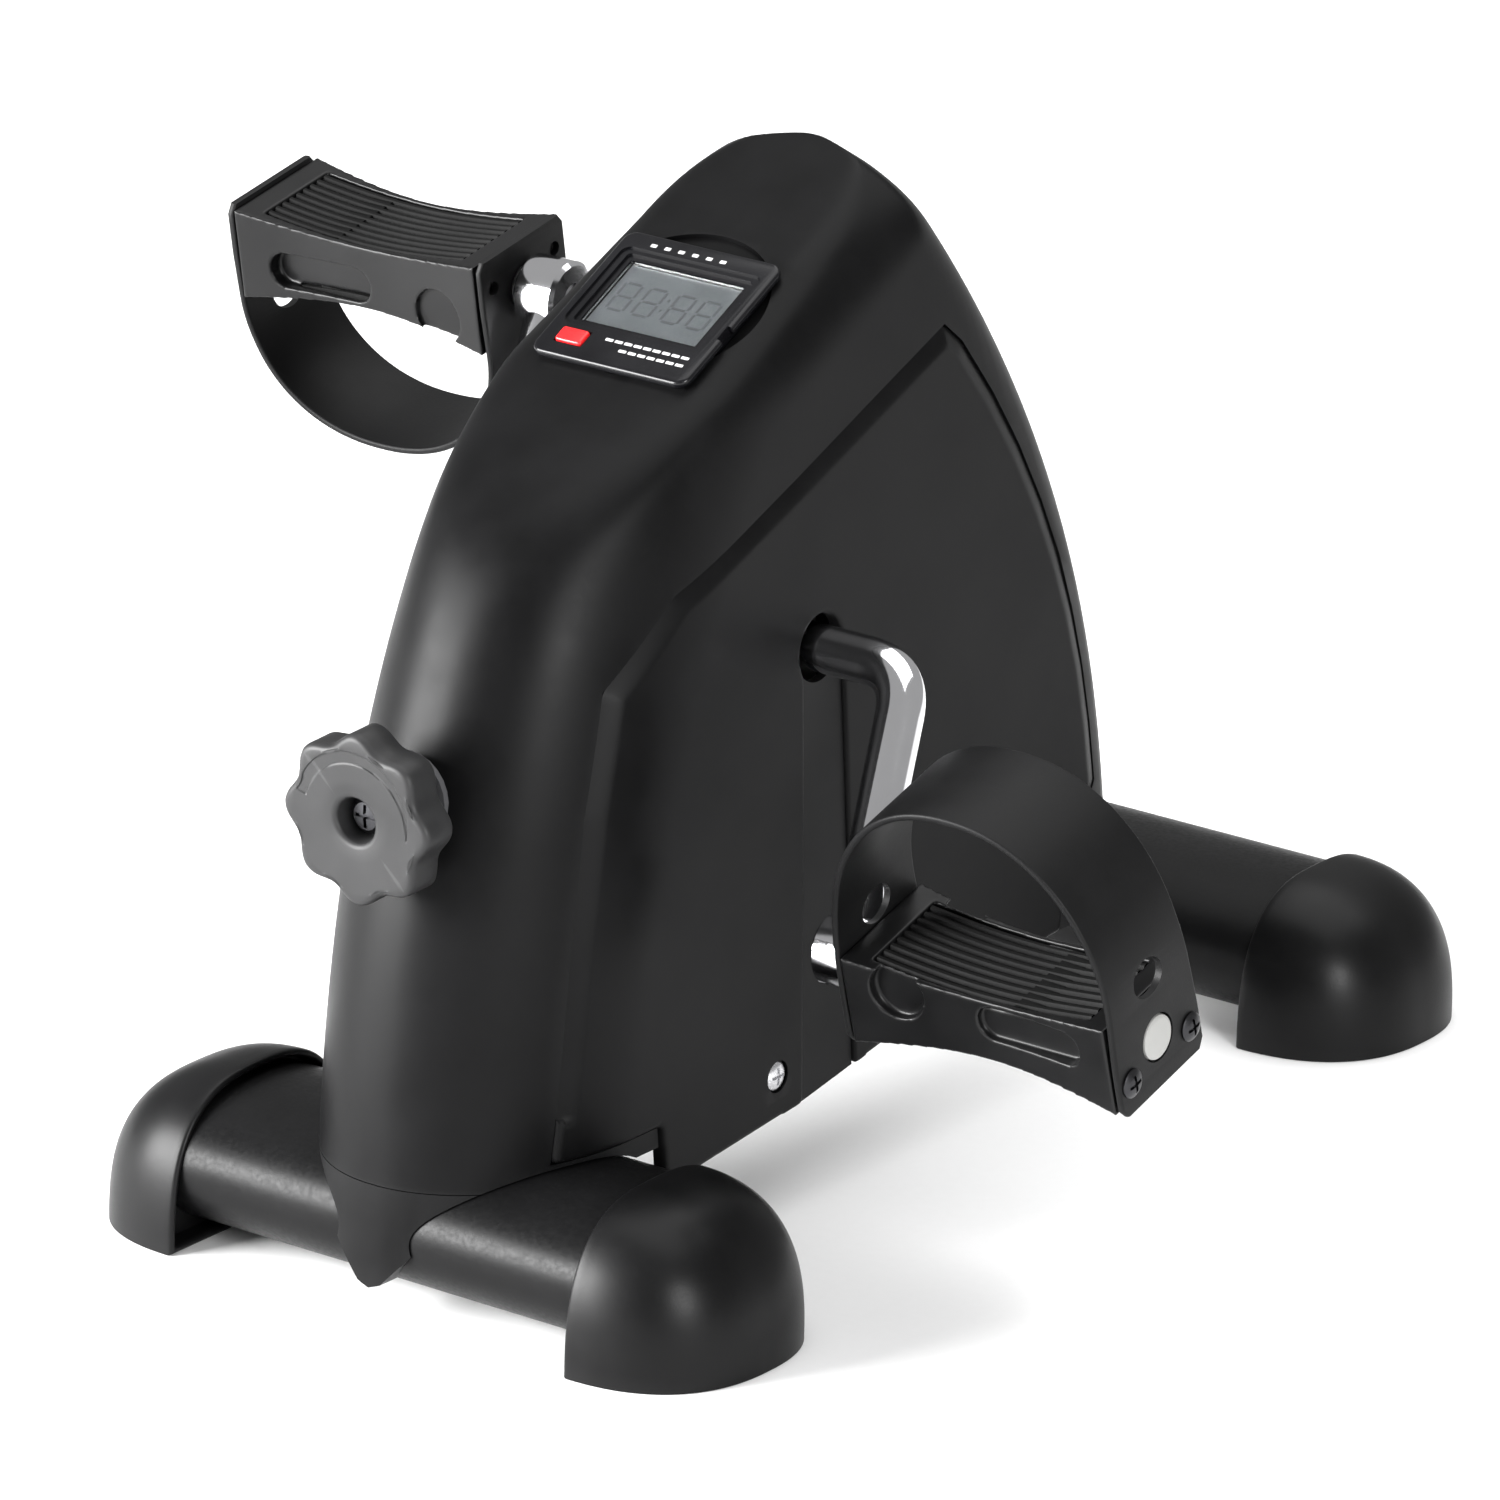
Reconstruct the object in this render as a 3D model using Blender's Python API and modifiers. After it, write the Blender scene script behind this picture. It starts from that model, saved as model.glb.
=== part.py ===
"""Pedal exerciser: casing, two foot bars, crank with pedals, friction brake, display unit.

Frame: metres, +Z up, origin on the floor midway between the foot bars.
X runs along the crank axis and the foot bars, -Y is the user's side, +Y the far side.
"""
import math

import bmesh
import bpy
from mathutils import Matrix, Vector

GAP = 0.0003                    # clearance between touching pieces

# foot bars: flattened oval steel tubes
BAR_Y = 0.171                   # distance of each bar from the origin
BAR_Z = 0.0235                  # height of the bar's centre line
BAR_A = 0.037                   # half width of the oval
BAR_B = 0.0215                  # half height of the oval
BAR_WALL = 0.0018
BAR_HALF = 0.084                # half length of the bare tube
BOLT_X = 0.0300                  # bolt heads on top of the bars
CAP_RIM_X = 0.0717              # where the end cap starts
CAP_LONG = 0.0425               # length of the dome beyond the rim
CAP_A = 0.0415                  # half width of the dome
CAP_TOP = 0.0492                # height of the dome

# casing, described by level sections
FRONT_Y = -0.211                # front face at floor level
FRONT_LEAN = 0.044              # how far the front has leaned back at the slope
SLOPE_START_Z = 0.225
REAR_Y = 0.1145                  # rear face at floor level
REAR_SWEEP = 0.1195
CASE_TOP = 0.309
CROWN_H = 0.0060                # height of the rounding at the very top
ARCH_H = 0.0240                 # height over which the top narrows to an arch
HALF_W = 0.0465                 # half width low down
HALF_W_TAPER = 0.0065           # lost towards the top
SLOPE_Y = -0.1044               # a point of the sloped top: lower edge of the display
SLOPE_Z = 0.2585
SLOPE_TILT = math.radians(27.16)
WALL = 0.0028
PANEL_RISE = 0.0014             # side covers stand proud by this much
SHELL_POINTS = 32
SHELL_LEVELS = 20

# crank
AXIS_Y = -0.061
AXIS_Z = 0.1745
THROW = 0.0835
CRANK_ANGLE = math.radians(58.4)
ROD_R = 0.0072
BEND_X = 0.0755                 # arm centre at the axle end
EYE_X = 0.0890                   # arm centre at the pedal end
EYE_R = 0.011
BORE_R = 0.0105                 # hole for the axle in the side covers

# pedals
PEDAL_IN = 0.1020               # inner end of the pedal body
PEDAL_OUT = 0.1930              # outer end of the pedal body
PEDAL_TILT = {1: math.radians(17.0), -1: math.radians(11.0)}
PEDAL_HALF_W = 0.0215
PEDAL_HALF_T = 0.0146
PEDAL_SAG = 0.0042               # how much thinner the pedal is at its middle
STRAP_T = 0.0022
STRAP_HALF_W = 0.019
SPINDLE_R = 0.0055

# knob and brake
KNOB_FACE = Vector((0.0, -0.2200, 0.15359))
KNOB_TILT = math.radians(3.0)
KNOB_R = 0.0246
KNOB_T = 0.0125
DRUM_R = 0.034
SHOE_TRAVEL = 0.003

SHIFT_Y = 0.0040                # whole machine, so that the origin is midway along it
CRANK_SHIFT = 0.0030            # crank and pedals sit this much towards +X

# display unit, in the plane of the slope
UNIT_W = 0.056
UNIT_H = 0.0544

PARTS = None
CUTTERS = None
MATERIALS = {}


def clear_scene():
    for obj in list(bpy.data.objects):
        bpy.data.objects.remove(obj, do_unlink=True)


def make_collections():
    global PARTS, CUTTERS
    PARTS = bpy.data.collections.new("pedal_exerciser")
    CUTTERS = bpy.data.collections.new("cutters")
    bpy.context.scene.collection.children.link(PARTS)
    bpy.context.scene.collection.children.link(CUTTERS)


def material(name, color, roughness, metallic=0.0):
    if name not in MATERIALS:
        mat = bpy.data.materials.new(name)
        mat.use_nodes = True
        bsdf = mat.node_tree.nodes["Principled BSDF"]
        bsdf.inputs["Base Color"].default_value = (*color, 1.0)
        bsdf.inputs["Roughness"].default_value = roughness
        bsdf.inputs["Metallic"].default_value = metallic
        MATERIALS[name] = mat
    return MATERIALS[name]


def mesh_from(name, verts, faces):
    mesh = bpy.data.meshes.new(name)
    mesh.from_pydata([tuple(v) for v in verts], [], faces)
    mesh.update()
    return mesh


def part(name, mesh, look, matrix=None, smooth=False):
    """One named piece in the parts collection."""
    obj = bpy.data.objects.new(name, mesh)
    PARTS.objects.link(obj)
    if matrix is not None:
        obj.matrix_world = matrix
    mesh.materials.clear()
    mesh.materials.append(material(name, *look))
    if smooth:
        mesh.shade_smooth()
        mesh.set_sharp_from_angle(angle=math.radians(35))
    return obj


def cutter(name, mesh, matrix=None):
    obj = bpy.data.objects.new(name, mesh)
    CUTTERS.objects.link(obj)
    obj.hide_render = True
    obj.display_type = 'WIRE'
    if matrix is not None:
        obj.matrix_world = matrix
    return obj


def cut(obj, tool, operation='DIFFERENCE'):
    mod = obj.modifiers.new(tool.name, 'BOOLEAN')
    mod.operation = operation
    mod.solver = 'EXACT'
    mod.object = tool
    return mod


def bevel(obj, width, segments=2, angle=40.0):
    mod = obj.modifiers.new("edge rounding", 'BEVEL')
    mod.width = width
    mod.segments = segments
    mod.limit_method = 'ANGLE'
    mod.angle_limit = math.radians(angle)
    return mod


def box_mesh(name, size, centre=(0.0, 0.0, 0.0)):
    bm = bmesh.new()
    bmesh.ops.create_cube(bm, size=1.0)
    bmesh.ops.scale(bm, vec=size, verts=bm.verts)
    bmesh.ops.translate(bm, vec=centre, verts=bm.verts)
    mesh = bpy.data.meshes.new(name)
    bm.to_mesh(mesh)
    bm.free()
    return mesh


def prism_mesh(name, outline, low, high, axis):
    """Outline extruded from low to high; axis X takes (y, z) points, Y takes (x, z), Z takes (x, y)."""
    place = {'X': lambda u, v, w: (w, u, v),
             'Y': lambda u, v, w: (u, w, v),
             'Z': lambda u, v, w: (u, v, w)}[axis]
    count = len(outline)
    verts = [place(u, v, low) for u, v in outline] + [place(u, v, high) for u, v in outline]
    faces = [tuple(range(count)), tuple(range(count, 2 * count))]
    faces += [(i, (i + 1) % count, count + (i + 1) % count, count + i) for i in range(count)]
    mesh = mesh_from(name, verts, faces)
    return face_outward(mesh)


def face_outward(mesh):
    bm = bmesh.new()
    bm.from_mesh(mesh)
    bmesh.ops.recalc_face_normals(bm, faces=bm.faces)
    bm.to_mesh(mesh)
    bm.free()
    return mesh


def circle(radius, count=24, centre=(0.0, 0.0), start=0.0, power=2.0, stretch=1.0):
    """Closed outline: circle, or superellipse when power differs from 2."""
    points = []
    for i in range(count):
        t = start + 2 * math.pi * i / count
        c, s = math.cos(t), math.sin(t)
        u = math.copysign(abs(c) ** (2 / power), c) * radius * stretch
        v = math.copysign(abs(s) ** (2 / power), s) * radius
        points.append((centre[0] + u, centre[1] + v))
    return points


def rounded_box(half_u, half_v, radius, steps=4, centre=(0.0, 0.0)):
    points = []
    for k, (su, sv) in enumerate(((1, 1), (-1, 1), (-1, -1), (1, -1))):
        for i in range(steps + 1):
            t = math.radians(90 * k + 90 * i / steps)
            points.append((centre[0] + su * (half_u - radius) + radius * math.cos(t),
                           centre[1] + sv * (half_v - radius) + radius * math.sin(t)))
    return points


def lathe(name, profile, look, matrix, steps=32, closed=True):
    """Turned piece about local Z; the profile runs down its outer side, top to bottom."""
    count = len(profile)
    edges = [(i, i + 1) for i in range(count - 1)]
    if closed:
        edges.append((count - 1, 0))
    mesh = bpy.data.meshes.new(name)
    mesh.from_pydata([(r, 0.0, h) for r, h in profile], edges, [])
    obj = part(name, mesh, look, matrix)
    mod = obj.modifiers.new("turn", 'SCREW')
    mod.angle = 2 * math.pi
    mod.steps = steps
    mod.render_steps = steps
    mod.axis = 'Z'
    mod.use_merge_vertices = True
    mod.merge_threshold = 0.00001
    mod.use_smooth_shade = False
    return obj


def along_x(location, outward=1):
    """Local Z along +X (or -X)."""
    turn = Matrix.Rotation(outward * math.pi / 2, 4, 'Y')
    return Matrix.Translation(location) @ turn


# ---------------------------------------------------------------- casing

def front_line(z):
    return FRONT_Y + FRONT_LEAN * max(z, 0.0) ** 2.4 / SLOPE_START_Z ** 2.4


def rear_line(z):
    return REAR_Y - REAR_SWEEP * (max(z, 0.0) / CASE_TOP) ** 2.45


def slope_line(z):
    return SLOPE_Y + (z - SLOPE_Z) / math.tan(SLOPE_TILT)


def half_width(z):
    share = min(max((z - 0.12) / 0.18, 0.0), 1.0)
    return HALF_W - HALF_W_TAPER * share ** 2


def slope_narrowing(y, z):
    """The sides draw in towards the slope, more so near the top."""
    lift = min(max((z - 0.235) / 0.05, 0.0), 1.0)
    back = min(max((y - slope_line(z)) / 0.05, 0.0), 1.0)
    return 0.0090 * lift * (1.0 - back) ** 2


def arc_setback(x, width, depth, power):
    """How far the rounded end falls back at the distance x from the middle plane."""
    share = min(abs(x) / width, 1.0)
    return depth * (1.0 - (1.0 - share ** power) ** (1.0 / power))


def inside_section(x, y, z, grow):
    width = half_width(z) + grow
    if abs(x) > width - slope_narrowing(y, z):
        return False
    front_depth = 0.062 + 0.012 * (z / 0.24) ** 3 + grow
    rear_depth = 0.026 + grow
    front = front_line(z) - grow + arc_setback(x, width, front_depth, 2.05)
    rear = rear_line(z) + grow - arc_setback(x, width, rear_depth, 2.2)
    return front <= y <= rear


def section(z, grow):
    """Level section of the casing: rounded front and rear, softly cut by the slope."""
    slope = slope_line(z) - grow / math.sin(SLOPE_TILT)
    front = max(front_line(z) - grow, slope)
    rear = rear_line(z) + grow
    middle = 0.5 * (front + rear)
    width, half = half_width(z) + grow, 0.5 * (rear - front)
    points = []
    for i in range(SHELL_POINTS):
        t = 2 * math.pi * (i + 0.5) / SHELL_POINTS
        c, s = math.cos(t), math.sin(t)
        dx = math.copysign(abs(c) ** 0.72, c) * width
        dy = math.copysign(abs(s) ** 0.72, s) * half
        low, high = 0.0, 1.6
        for _ in range(26):
            mid = 0.5 * (low + high)
            if inside_section(dx * mid, middle + dy * mid, z, grow):
                low = mid
            else:
                high = mid
        reach = low
        if dy < 0.0:
            to_slope = (slope - middle) / dy
            reach = (max(low, 1e-6) ** -10 + to_slope ** -10) ** -0.1
        points.append((dx * reach, middle + dy * reach))
    crown = min(max((z - CASE_TOP - grow + CROWN_H) / CROWN_H, 0.0), 0.93)
    shrink = math.sqrt(1.0 - crown ** 2)
    rise = min(max((z - CASE_TOP - grow + ARCH_H) / ARCH_H, 0.0), 0.995)
    arch = (1.0 - rise ** 2.5) ** 0.4
    return [(x * arch, middle + (y - middle) * shrink) for x, y in points]


def casing_solid(name, grow, bottom):
    """Loft of level sections, closer together towards the top."""
    top = CASE_TOP + grow - 0.0002
    levels = []
    for k in range(SHELL_LEVELS + 1):
        share = k / SHELL_LEVELS
        levels.append(bottom + (top - bottom) * (1.0 - (1.0 - share) ** 1.7))
    verts, faces = [], []
    for z in levels:
        verts += [(x, y, z) for x, y in section(z, grow)]
    n = SHELL_POINTS
    for k in range(SHELL_LEVELS):
        for i in range(n):
            a, b = k * n + i, k * n + (i + 1) % n
            faces.append((a, b, b + n, a + n))
    faces.append(tuple(reversed(range(n))))
    faces.append(tuple(range(SHELL_LEVELS * n, SHELL_LEVELS * n + n)))
    return face_outward(mesh_from(name, verts, faces))


def under_edge(drop=0.0):
    """Everything below the casing's lower edge, as (y, z) points."""
    return [(-0.26, 0.0405 - drop), (-0.1336, 0.0405 - drop), (-0.1320, 0.0270 - drop),
            (-0.0630, 0.0340 - drop), (-0.0200, 0.0416 - drop), (0.0640, 0.0500 - drop),
            (0.1500, 0.0500 - drop), (0.1500, -0.03), (-0.26, -0.03)]


def panel_outline(grow):
    """Side cover outline as (y, z): leaning front edge, diagonal, swept rear edge."""
    def rear(z):
        return 0.0905 - 0.119 * (z / CASE_TOP) ** 2.67 - 0.0112 * (z / 0.25) ** 3

    points = [(-0.1320, 0.0200), (-0.1350, 0.0470), (-0.1785, 0.0470), (-0.1708, 0.1108), (-0.1641, 0.1483)]
    points += [(-0.1545, 0.1833), (-0.1275, 0.2064), (-0.0708, 0.2281), (-0.0295, 0.2444), (0.003, 0.2570)]
    for k in range(9):
        z = 0.2500 - k * 0.0195
        points.append((rear(z), z))
    points += [(0.0700, 0.0690), (0.0640, 0.0200)]
    return offset_outline(list(reversed(points)), grow)


def offset_outline(points, grow):
    """Move every edge of a counter-clockwise outline outward by grow."""
    if grow == 0.0:
        return points
    moved = []
    count = len(points)
    for i in range(count):
        before, here, after = (Vector(points[(i + k) % count]) for k in (-1, 0, 1))
        n1 = (here - before).normalized()
        n2 = (after - here).normalized()
        n1 = Vector((n1.y, -n1.x))
        n2 = Vector((n2.y, -n2.x))
        bisector = (n1 + n2).normalized()
        moved.append(tuple(here + bisector * grow / max(bisector.dot(n1), 0.3)))
    return moved


def strip_outline(grow):
    return [(-0.0695 - grow, 0.1745), (-0.0640 - grow, 0.0150),
            (-0.0370 + grow, 0.0150), (-0.0505 + grow, 0.1745)]


def oval(grow=0.0, count=28):
    return circle(BAR_B + grow, count, (0.0, 0.0), 0.0, 2.2, (BAR_A + grow) / (BAR_B + grow))


def oval_cutter(name, y, grow=2 * GAP):
    outline = [(y + u, BAR_Z + v) for u, v in oval(grow)]
    return cutter(name, prism_mesh(name, outline, -0.06, 0.06, 'X'))


def display_matrix():
    """Slope frame: X across, Y up the slope, Z out of it, origin at the display's centre."""
    up = Vector((0.0, math.cos(SLOPE_TILT), math.sin(SLOPE_TILT)))
    out = Vector((0.0, -math.sin(SLOPE_TILT), math.cos(SLOPE_TILT)))
    centre = Vector((0.0, SLOPE_Y, SLOPE_Z)) + up * UNIT_H / 2
    turn = Matrix((Vector((1, 0, 0)), up, out)).transposed().to_4x4()
    return Matrix.Translation(centre) @ turn


def knob_matrix(depth=0.0):
    """Local Z points out of the casing along the knob's axis; depth is measured inward."""
    inward = Vector((0.0, math.cos(KNOB_TILT), math.sin(KNOB_TILT)))
    turn = Matrix.Rotation(math.pi / 2 + KNOB_TILT, 4, 'X')
    return Matrix.Translation(KNOB_FACE + inward * depth) @ turn


BLACK = (0.016, 0.016, 0.017)
COVER_LOOK = (BLACK, 0.42)


def casing_cutters():
    """Shared tools for the three casing shells."""
    tools = {"hollow": cutter("hollow", casing_solid("hollow", -WALL, 0.004)),
             "under": cutter("under", prism_mesh("under", list(reversed(under_edge())), -0.08, 0.08, 'X')),
             "bar": oval_cutter("bar room", -BAR_Y)}
    for side, sign in (("right", 1), ("left", -1)):
        low, high = sorted((sign * 0.026, sign * 0.07))
        for kind, grow in (("window", GAP / 2 + 0.0001), ("panel", -GAP / 2)):
            label = kind + " " + side
            tools[label] = cutter(label, prism_mesh(label, panel_outline(grow), low, high, 'X'))
        label = "slot " + side
        tools[label] = cutter(label, prism_mesh(label, strip_outline(GAP / 2), low, high, 'X'))
        label = "strip room " + side
        tools[label] = cutter(label, prism_mesh(label, strip_outline(-GAP / 2), low, high, 'X'))
    bore = circle(BORE_R, 32, (AXIS_Y, AXIS_Z))
    tools["bore"] = cutter("axle bore", prism_mesh("axle bore", bore, -0.08, 0.08, 'X'))
    return tools


def centre_cover(tools):
    obj = part("centre_cover", casing_solid("centre_cover", 0.0, 0.02), COVER_LOOK, None, True)
    cut(obj, tools["hollow"])
    cut(obj, tools["under"])
    cut(obj, tools["bar"])
    cut(obj, tools["window right"])
    cut(obj, tools["window left"])
    pocket = box_mesh("display pocket", (UNIT_W - 0.003, UNIT_H - 0.003, 0.03))
    cut(obj, cutter("display pocket", pocket, display_matrix()))
    recess = prism_mesh("finger recess", circle(0.031, 28, (0.0, 0.0)), -0.0016, 0.02, 'Z')
    place = display_matrix() @ Matrix.Translation((0.0, UNIT_H / 2 - 0.0225, 0.0))
    cut(obj, cutter("finger recess", recess, place))
    hole = prism_mesh("knob hole", circle(0.0085, 24), -0.06, 0.0, 'Z')
    cut(obj, cutter("knob hole", hole, knob_matrix()))
    return obj


def side_cover(tools, side):
    name = "side_cover_" + side
    obj = part(name, casing_solid(name, PANEL_RISE, 0.02), COVER_LOOK, None, True)
    cut(obj, tools["panel " + side], 'INTERSECT')
    cut(obj, tools["hollow"])
    cut(obj, tools["under"])
    cut(obj, tools["bar"])
    cut(obj, tools["slot " + side])
    cut(obj, tools["bore"])
    sign = 1 if side == "right" else -1
    low, high = sorted((sign * 0.0465, sign * 0.06))
    seat = prism_mesh("screw seat " + side, circle(0.0050, 20, (-0.078, 0.046)), low, high, 'X')
    cut(obj, cutter("screw seat " + side, seat))
    low, high = sorted((sign * 0.03, sign * 0.06))
    seat = prism_mesh("screw way " + side, circle(0.0022, 16, (-0.078, 0.046)), low, high, 'X')
    cut(obj, cutter("screw way " + side, seat))
    return obj


def slot_strip(tools, side):
    """Strip that closes the slot below the axle, set in slightly from the side cover."""
    name = "slot_strip_" + side
    obj = part(name, casing_solid(name, PANEL_RISE - 0.0012, 0.02), (BLACK, 0.40), None, True)
    cut(obj, tools["strip room " + side], 'INTERSECT')
    cut(obj, tools["hollow"])
    cut(obj, tools["under"])
    cut(obj, tools["bore"])
    return obj


def cover_screw(side):
    sign = 1 if side == "right" else -1
    profile = [(0.0, 0.0013), (0.0030, 0.0011), (0.0044, 0.0003), (0.0044, -0.0004),
               (0.0018, -0.0004), (0.0018, -0.0062), (0.0, -0.0062)]
    place = along_x((sign * 0.04695, -0.078, 0.046), sign)
    obj = lathe("cover_screw_" + side, profile, ((0.72, 0.72, 0.74), 0.25, 1.0), place, 12, False)
    for k in range(2):
        size = (0.0050, 0.0009, 0.0016) if k == 0 else (0.0009, 0.0050, 0.0016)
        name = "screw slot %s %d" % (side, k)
        cut(obj, cutter(name, box_mesh(name, size, (0.0, 0.0, 0.0010)), place))
    return obj


def front_saddle():
    """Pointed lip of the front column that laps over the bar."""
    obj = part("front_saddle", casing_solid("front_saddle", 0.0, 0.004), COVER_LOOK, None, True)
    lip = [(-0.0315, 0.0402), (-0.004, 0.0100), (0.0, 0.0085), (0.004, 0.0100), (0.0315, 0.0402)]
    tool = prism_mesh("lip", lip, -0.25, -BAR_Y - 0.001, 'Y')
    cut(obj, cutter("lip", tool), 'INTERSECT')
    cut(obj, oval_cutter("bar under lip", -BAR_Y))
    return obj


# ---------------------------------------------------------------- foot bars and frame

def foot_tube(name, y):
    outline = [(y + u, BAR_Z + v) for u, v in oval()]
    obj = part(name, prism_mesh(name, outline, -BAR_HALF, BAR_HALF, 'X'), ((0.02, 0.02, 0.021), 0.38), None, True)
    inner = [(y + u, BAR_Z + v) for u, v in oval(-BAR_WALL, 20)]
    cut(obj, cutter(name + " inside", prism_mesh(name + " inside", inner, -0.12, 0.12, 'X')))
    for sign in (1, -1):
        label = "%s bolt hole %d" % (name, sign)
        if y < 0.0:
            tool = prism_mesh(label, circle(0.0034, 16, (sign * BOLT_X, y)), BAR_Z, BAR_Z + 0.04, 'Z')
        else:
            tool = prism_mesh(label, circle(0.0034, 16, (sign * BOLT_X, BAR_Z)), y, y + 0.05, 'Y')
        cut(obj, cutter(label, tool))
    return obj


def cap_outline(wide, tall, around):
    points = []
    for i in range(around):
        a = 2 * math.pi * (i + 0.5) / around
        points.append((math.copysign(abs(math.cos(a)) ** 0.72, math.cos(a)) * wide,
                       math.copysign(abs(math.sin(a)) ** 0.72, math.sin(a)) * tall))
    return points


def end_cap(name, y, sign):
    """Quarter-egg rubber foot: flat underneath, socket for the bar, hollow rim."""
    rings, around = 6, 24
    verts, faces = [], []
    for k in range(rings):
        t = 0.5 * math.pi * k / rings
        along, across = math.sin(t) ** (2 / 2.4), math.cos(t) ** (2 / 2.4)
        for u, v in cap_outline(CAP_A * across, CAP_TOP * across, around):
            verts.append((sign * (CAP_RIM_X + CAP_LONG * along), y + u, v))
    verts.append((sign * (CAP_RIM_X + CAP_LONG), y, 0.0))
    for k in range(rings - 1):
        for i in range(around):
            a, b = k * around + i, k * around + (i + 1) % around
            faces.append((a, b, b + around, a + around))
    last = (rings - 1) * around
    faces += [(last + i, last + (i + 1) % around, rings * around) for i in range(around)]
    faces.append(tuple(range(around)))
    mesh = face_outward(mesh_from(name, verts, faces))
    obj = part(name, mesh, ((0.012, 0.012, 0.012), 0.5), None, True)
    floor = box_mesh(name + " floor", (0.2, 0.12, 0.08), (sign * 0.1, y, -0.04))
    cut(obj, cutter(name + " floor", floor))
    low, high = sorted((sign * 0.05, sign * (BAR_HALF + GAP)))
    socket = [(y + u, BAR_Z + v) for u, v in oval(GAP + 0.0001)]
    cut(obj, cutter(name + " socket", prism_mesh(name + " socket", socket, low, high, 'X')))
    low, high = sorted((sign * 0.05, sign * (CAP_RIM_X + 0.006)))
    rim = [(y + u, v) for u, v in cap_outline(CAP_A - 0.0024, CAP_TOP - 0.0024, around) if v > 0.0024]
    rim = [(y - CAP_A + 0.0026, 0.0024)] + rim[::-1] + [(y + CAP_A - 0.0026, 0.0024)]
    cut(obj, cutter(name + " rim", prism_mesh(name + " rim", rim, low, high, 'X')))
    return obj


def frame_rail():
    """Rectangular steel tube joining the two bars, its ends shaped to them."""
    half_x, low, high = 0.015, 0.0285, 0.0440
    outline = rounded_box(half_x, (high - low) / 2, 0.0025, 3, (0.0, (high + low) / 2))
    steel = ((0.03, 0.03, 0.032), 0.45, 0.3)
    obj = part("frame_rail", prism_mesh("frame_rail", outline, -0.165, 0.165, 'Y'), steel, None, True)
    inner = rounded_box(half_x - 0.002, (high - low) / 2 - 0.002, 0.0012, 2, (0.0, (high + low) / 2))
    cut(obj, cutter("rail inside", prism_mesh("rail inside", inner, -0.17, 0.17, 'Y')))
    cut(obj, oval_cutter("front bar end", -BAR_Y, GAP))
    cut(obj, oval_cutter("rear bar end", BAR_Y, GAP))
    return obj


def bar_bolt(name, x, y):
    """Domed bolt head with its washer, on top of the front bar or behind the rear one."""
    profile = [(0.0, 0.0042), (0.0030, 0.0038), (0.0052, 0.0024), (0.0060, 0.0012), (0.0078, 0.0012),
               (0.0078, 0.0002), (0.0030, 0.0002), (0.0030, -0.0060), (0.0, -0.0060)]
    if y < 0.0:
        place = Matrix.Translation((x, y, BAR_Z + BAR_B + 0.0001))
    else:
        place = Matrix.Translation((x, y + BAR_A + 0.0001, BAR_Z)) @ Matrix.Rotation(-math.pi / 2, 4, 'X')
    return lathe(name, profile, ((0.70, 0.70, 0.72), 0.28, 1.0), place, 16, False)


def bearing_bracket():
    """U-shaped steel bracket on the rail that carries both axle bushes."""
    base = 0.0443
    half_y = 0.026
    outline = [(AXIS_Y - 0.040, base), (AXIS_Y + 0.040, base), (AXIS_Y + 0.040, base + 0.006)]
    for k in range(13):
        t = math.radians(-15 + 210 * k / 12)
        outline.append((AXIS_Y + half_y * math.cos(t), AXIS_Z + half_y * math.sin(t)))
    outline.append((AXIS_Y - 0.040, base + 0.006))
    mesh = prism_mesh("bearing_bracket", outline, -0.0265, 0.0265, 'X')
    obj = part("bearing_bracket", mesh, ((0.10, 0.10, 0.105), 0.4, 0.8))
    room = box_mesh("bracket room", (0.047, 0.2, 0.3), (0.0, AXIS_Y, base + 0.003 + 0.15))
    cut(obj, cutter("bracket room", room))
    holes = prism_mesh("bush holes", circle(0.0145, 28, (AXIS_Y, AXIS_Z)), -0.05, 0.05, 'X')
    cut(obj, cutter("bush holes", holes))
    return obj


def bush(side):
    sign = 1 if side == "right" else -1
    inner = ROD_R + 2 * GAP
    profile = [(0.0180, 0.0030), (0.0180, GAP), (0.0142, GAP), (0.0142, -0.0045), (inner, -0.0045), (inner, 0.0030)]
    place = along_x((sign * 0.0265, AXIS_Y, AXIS_Z), sign)
    return lathe("axle_bush_" + side, profile, ((0.55, 0.42, 0.2), 0.35, 1.0), place, 24)


def arm_end(sign):
    """Pedal end of the arm in (x, y, z)."""
    return Vector((sign * EYE_X, AXIS_Y - sign * THROW * math.cos(CRANK_ANGLE),
                   AXIS_Z - sign * THROW * math.sin(CRANK_ANGLE)))


def crank_path():
    """Centre line of the one-piece crank with rounded bends."""
    corners = []
    for sign in (-1, 1):
        bend = Vector((sign * BEND_X, AXIS_Y, AXIS_Z))
        end = arm_end(sign)
        end = end + (end - bend).normalized() * 0.004
        pair = [end, bend]
        corners += pair if sign < 0 else pair[::-1]
    points = [corners[0]]
    for i in (1, 2):
        before = (corners[i - 1] - corners[i]).normalized()
        after = (corners[i + 1] - corners[i]).normalized()
        reach = 0.014
        start, stop = corners[i] + before * reach, corners[i] + after * reach
        for k in range(7):
            s = k / 6
            points.append(start * (1 - s) ** 2 + corners[i] * 2 * s * (1 - s) + stop * s ** 2)
    points.append(corners[3])
    return points


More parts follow.
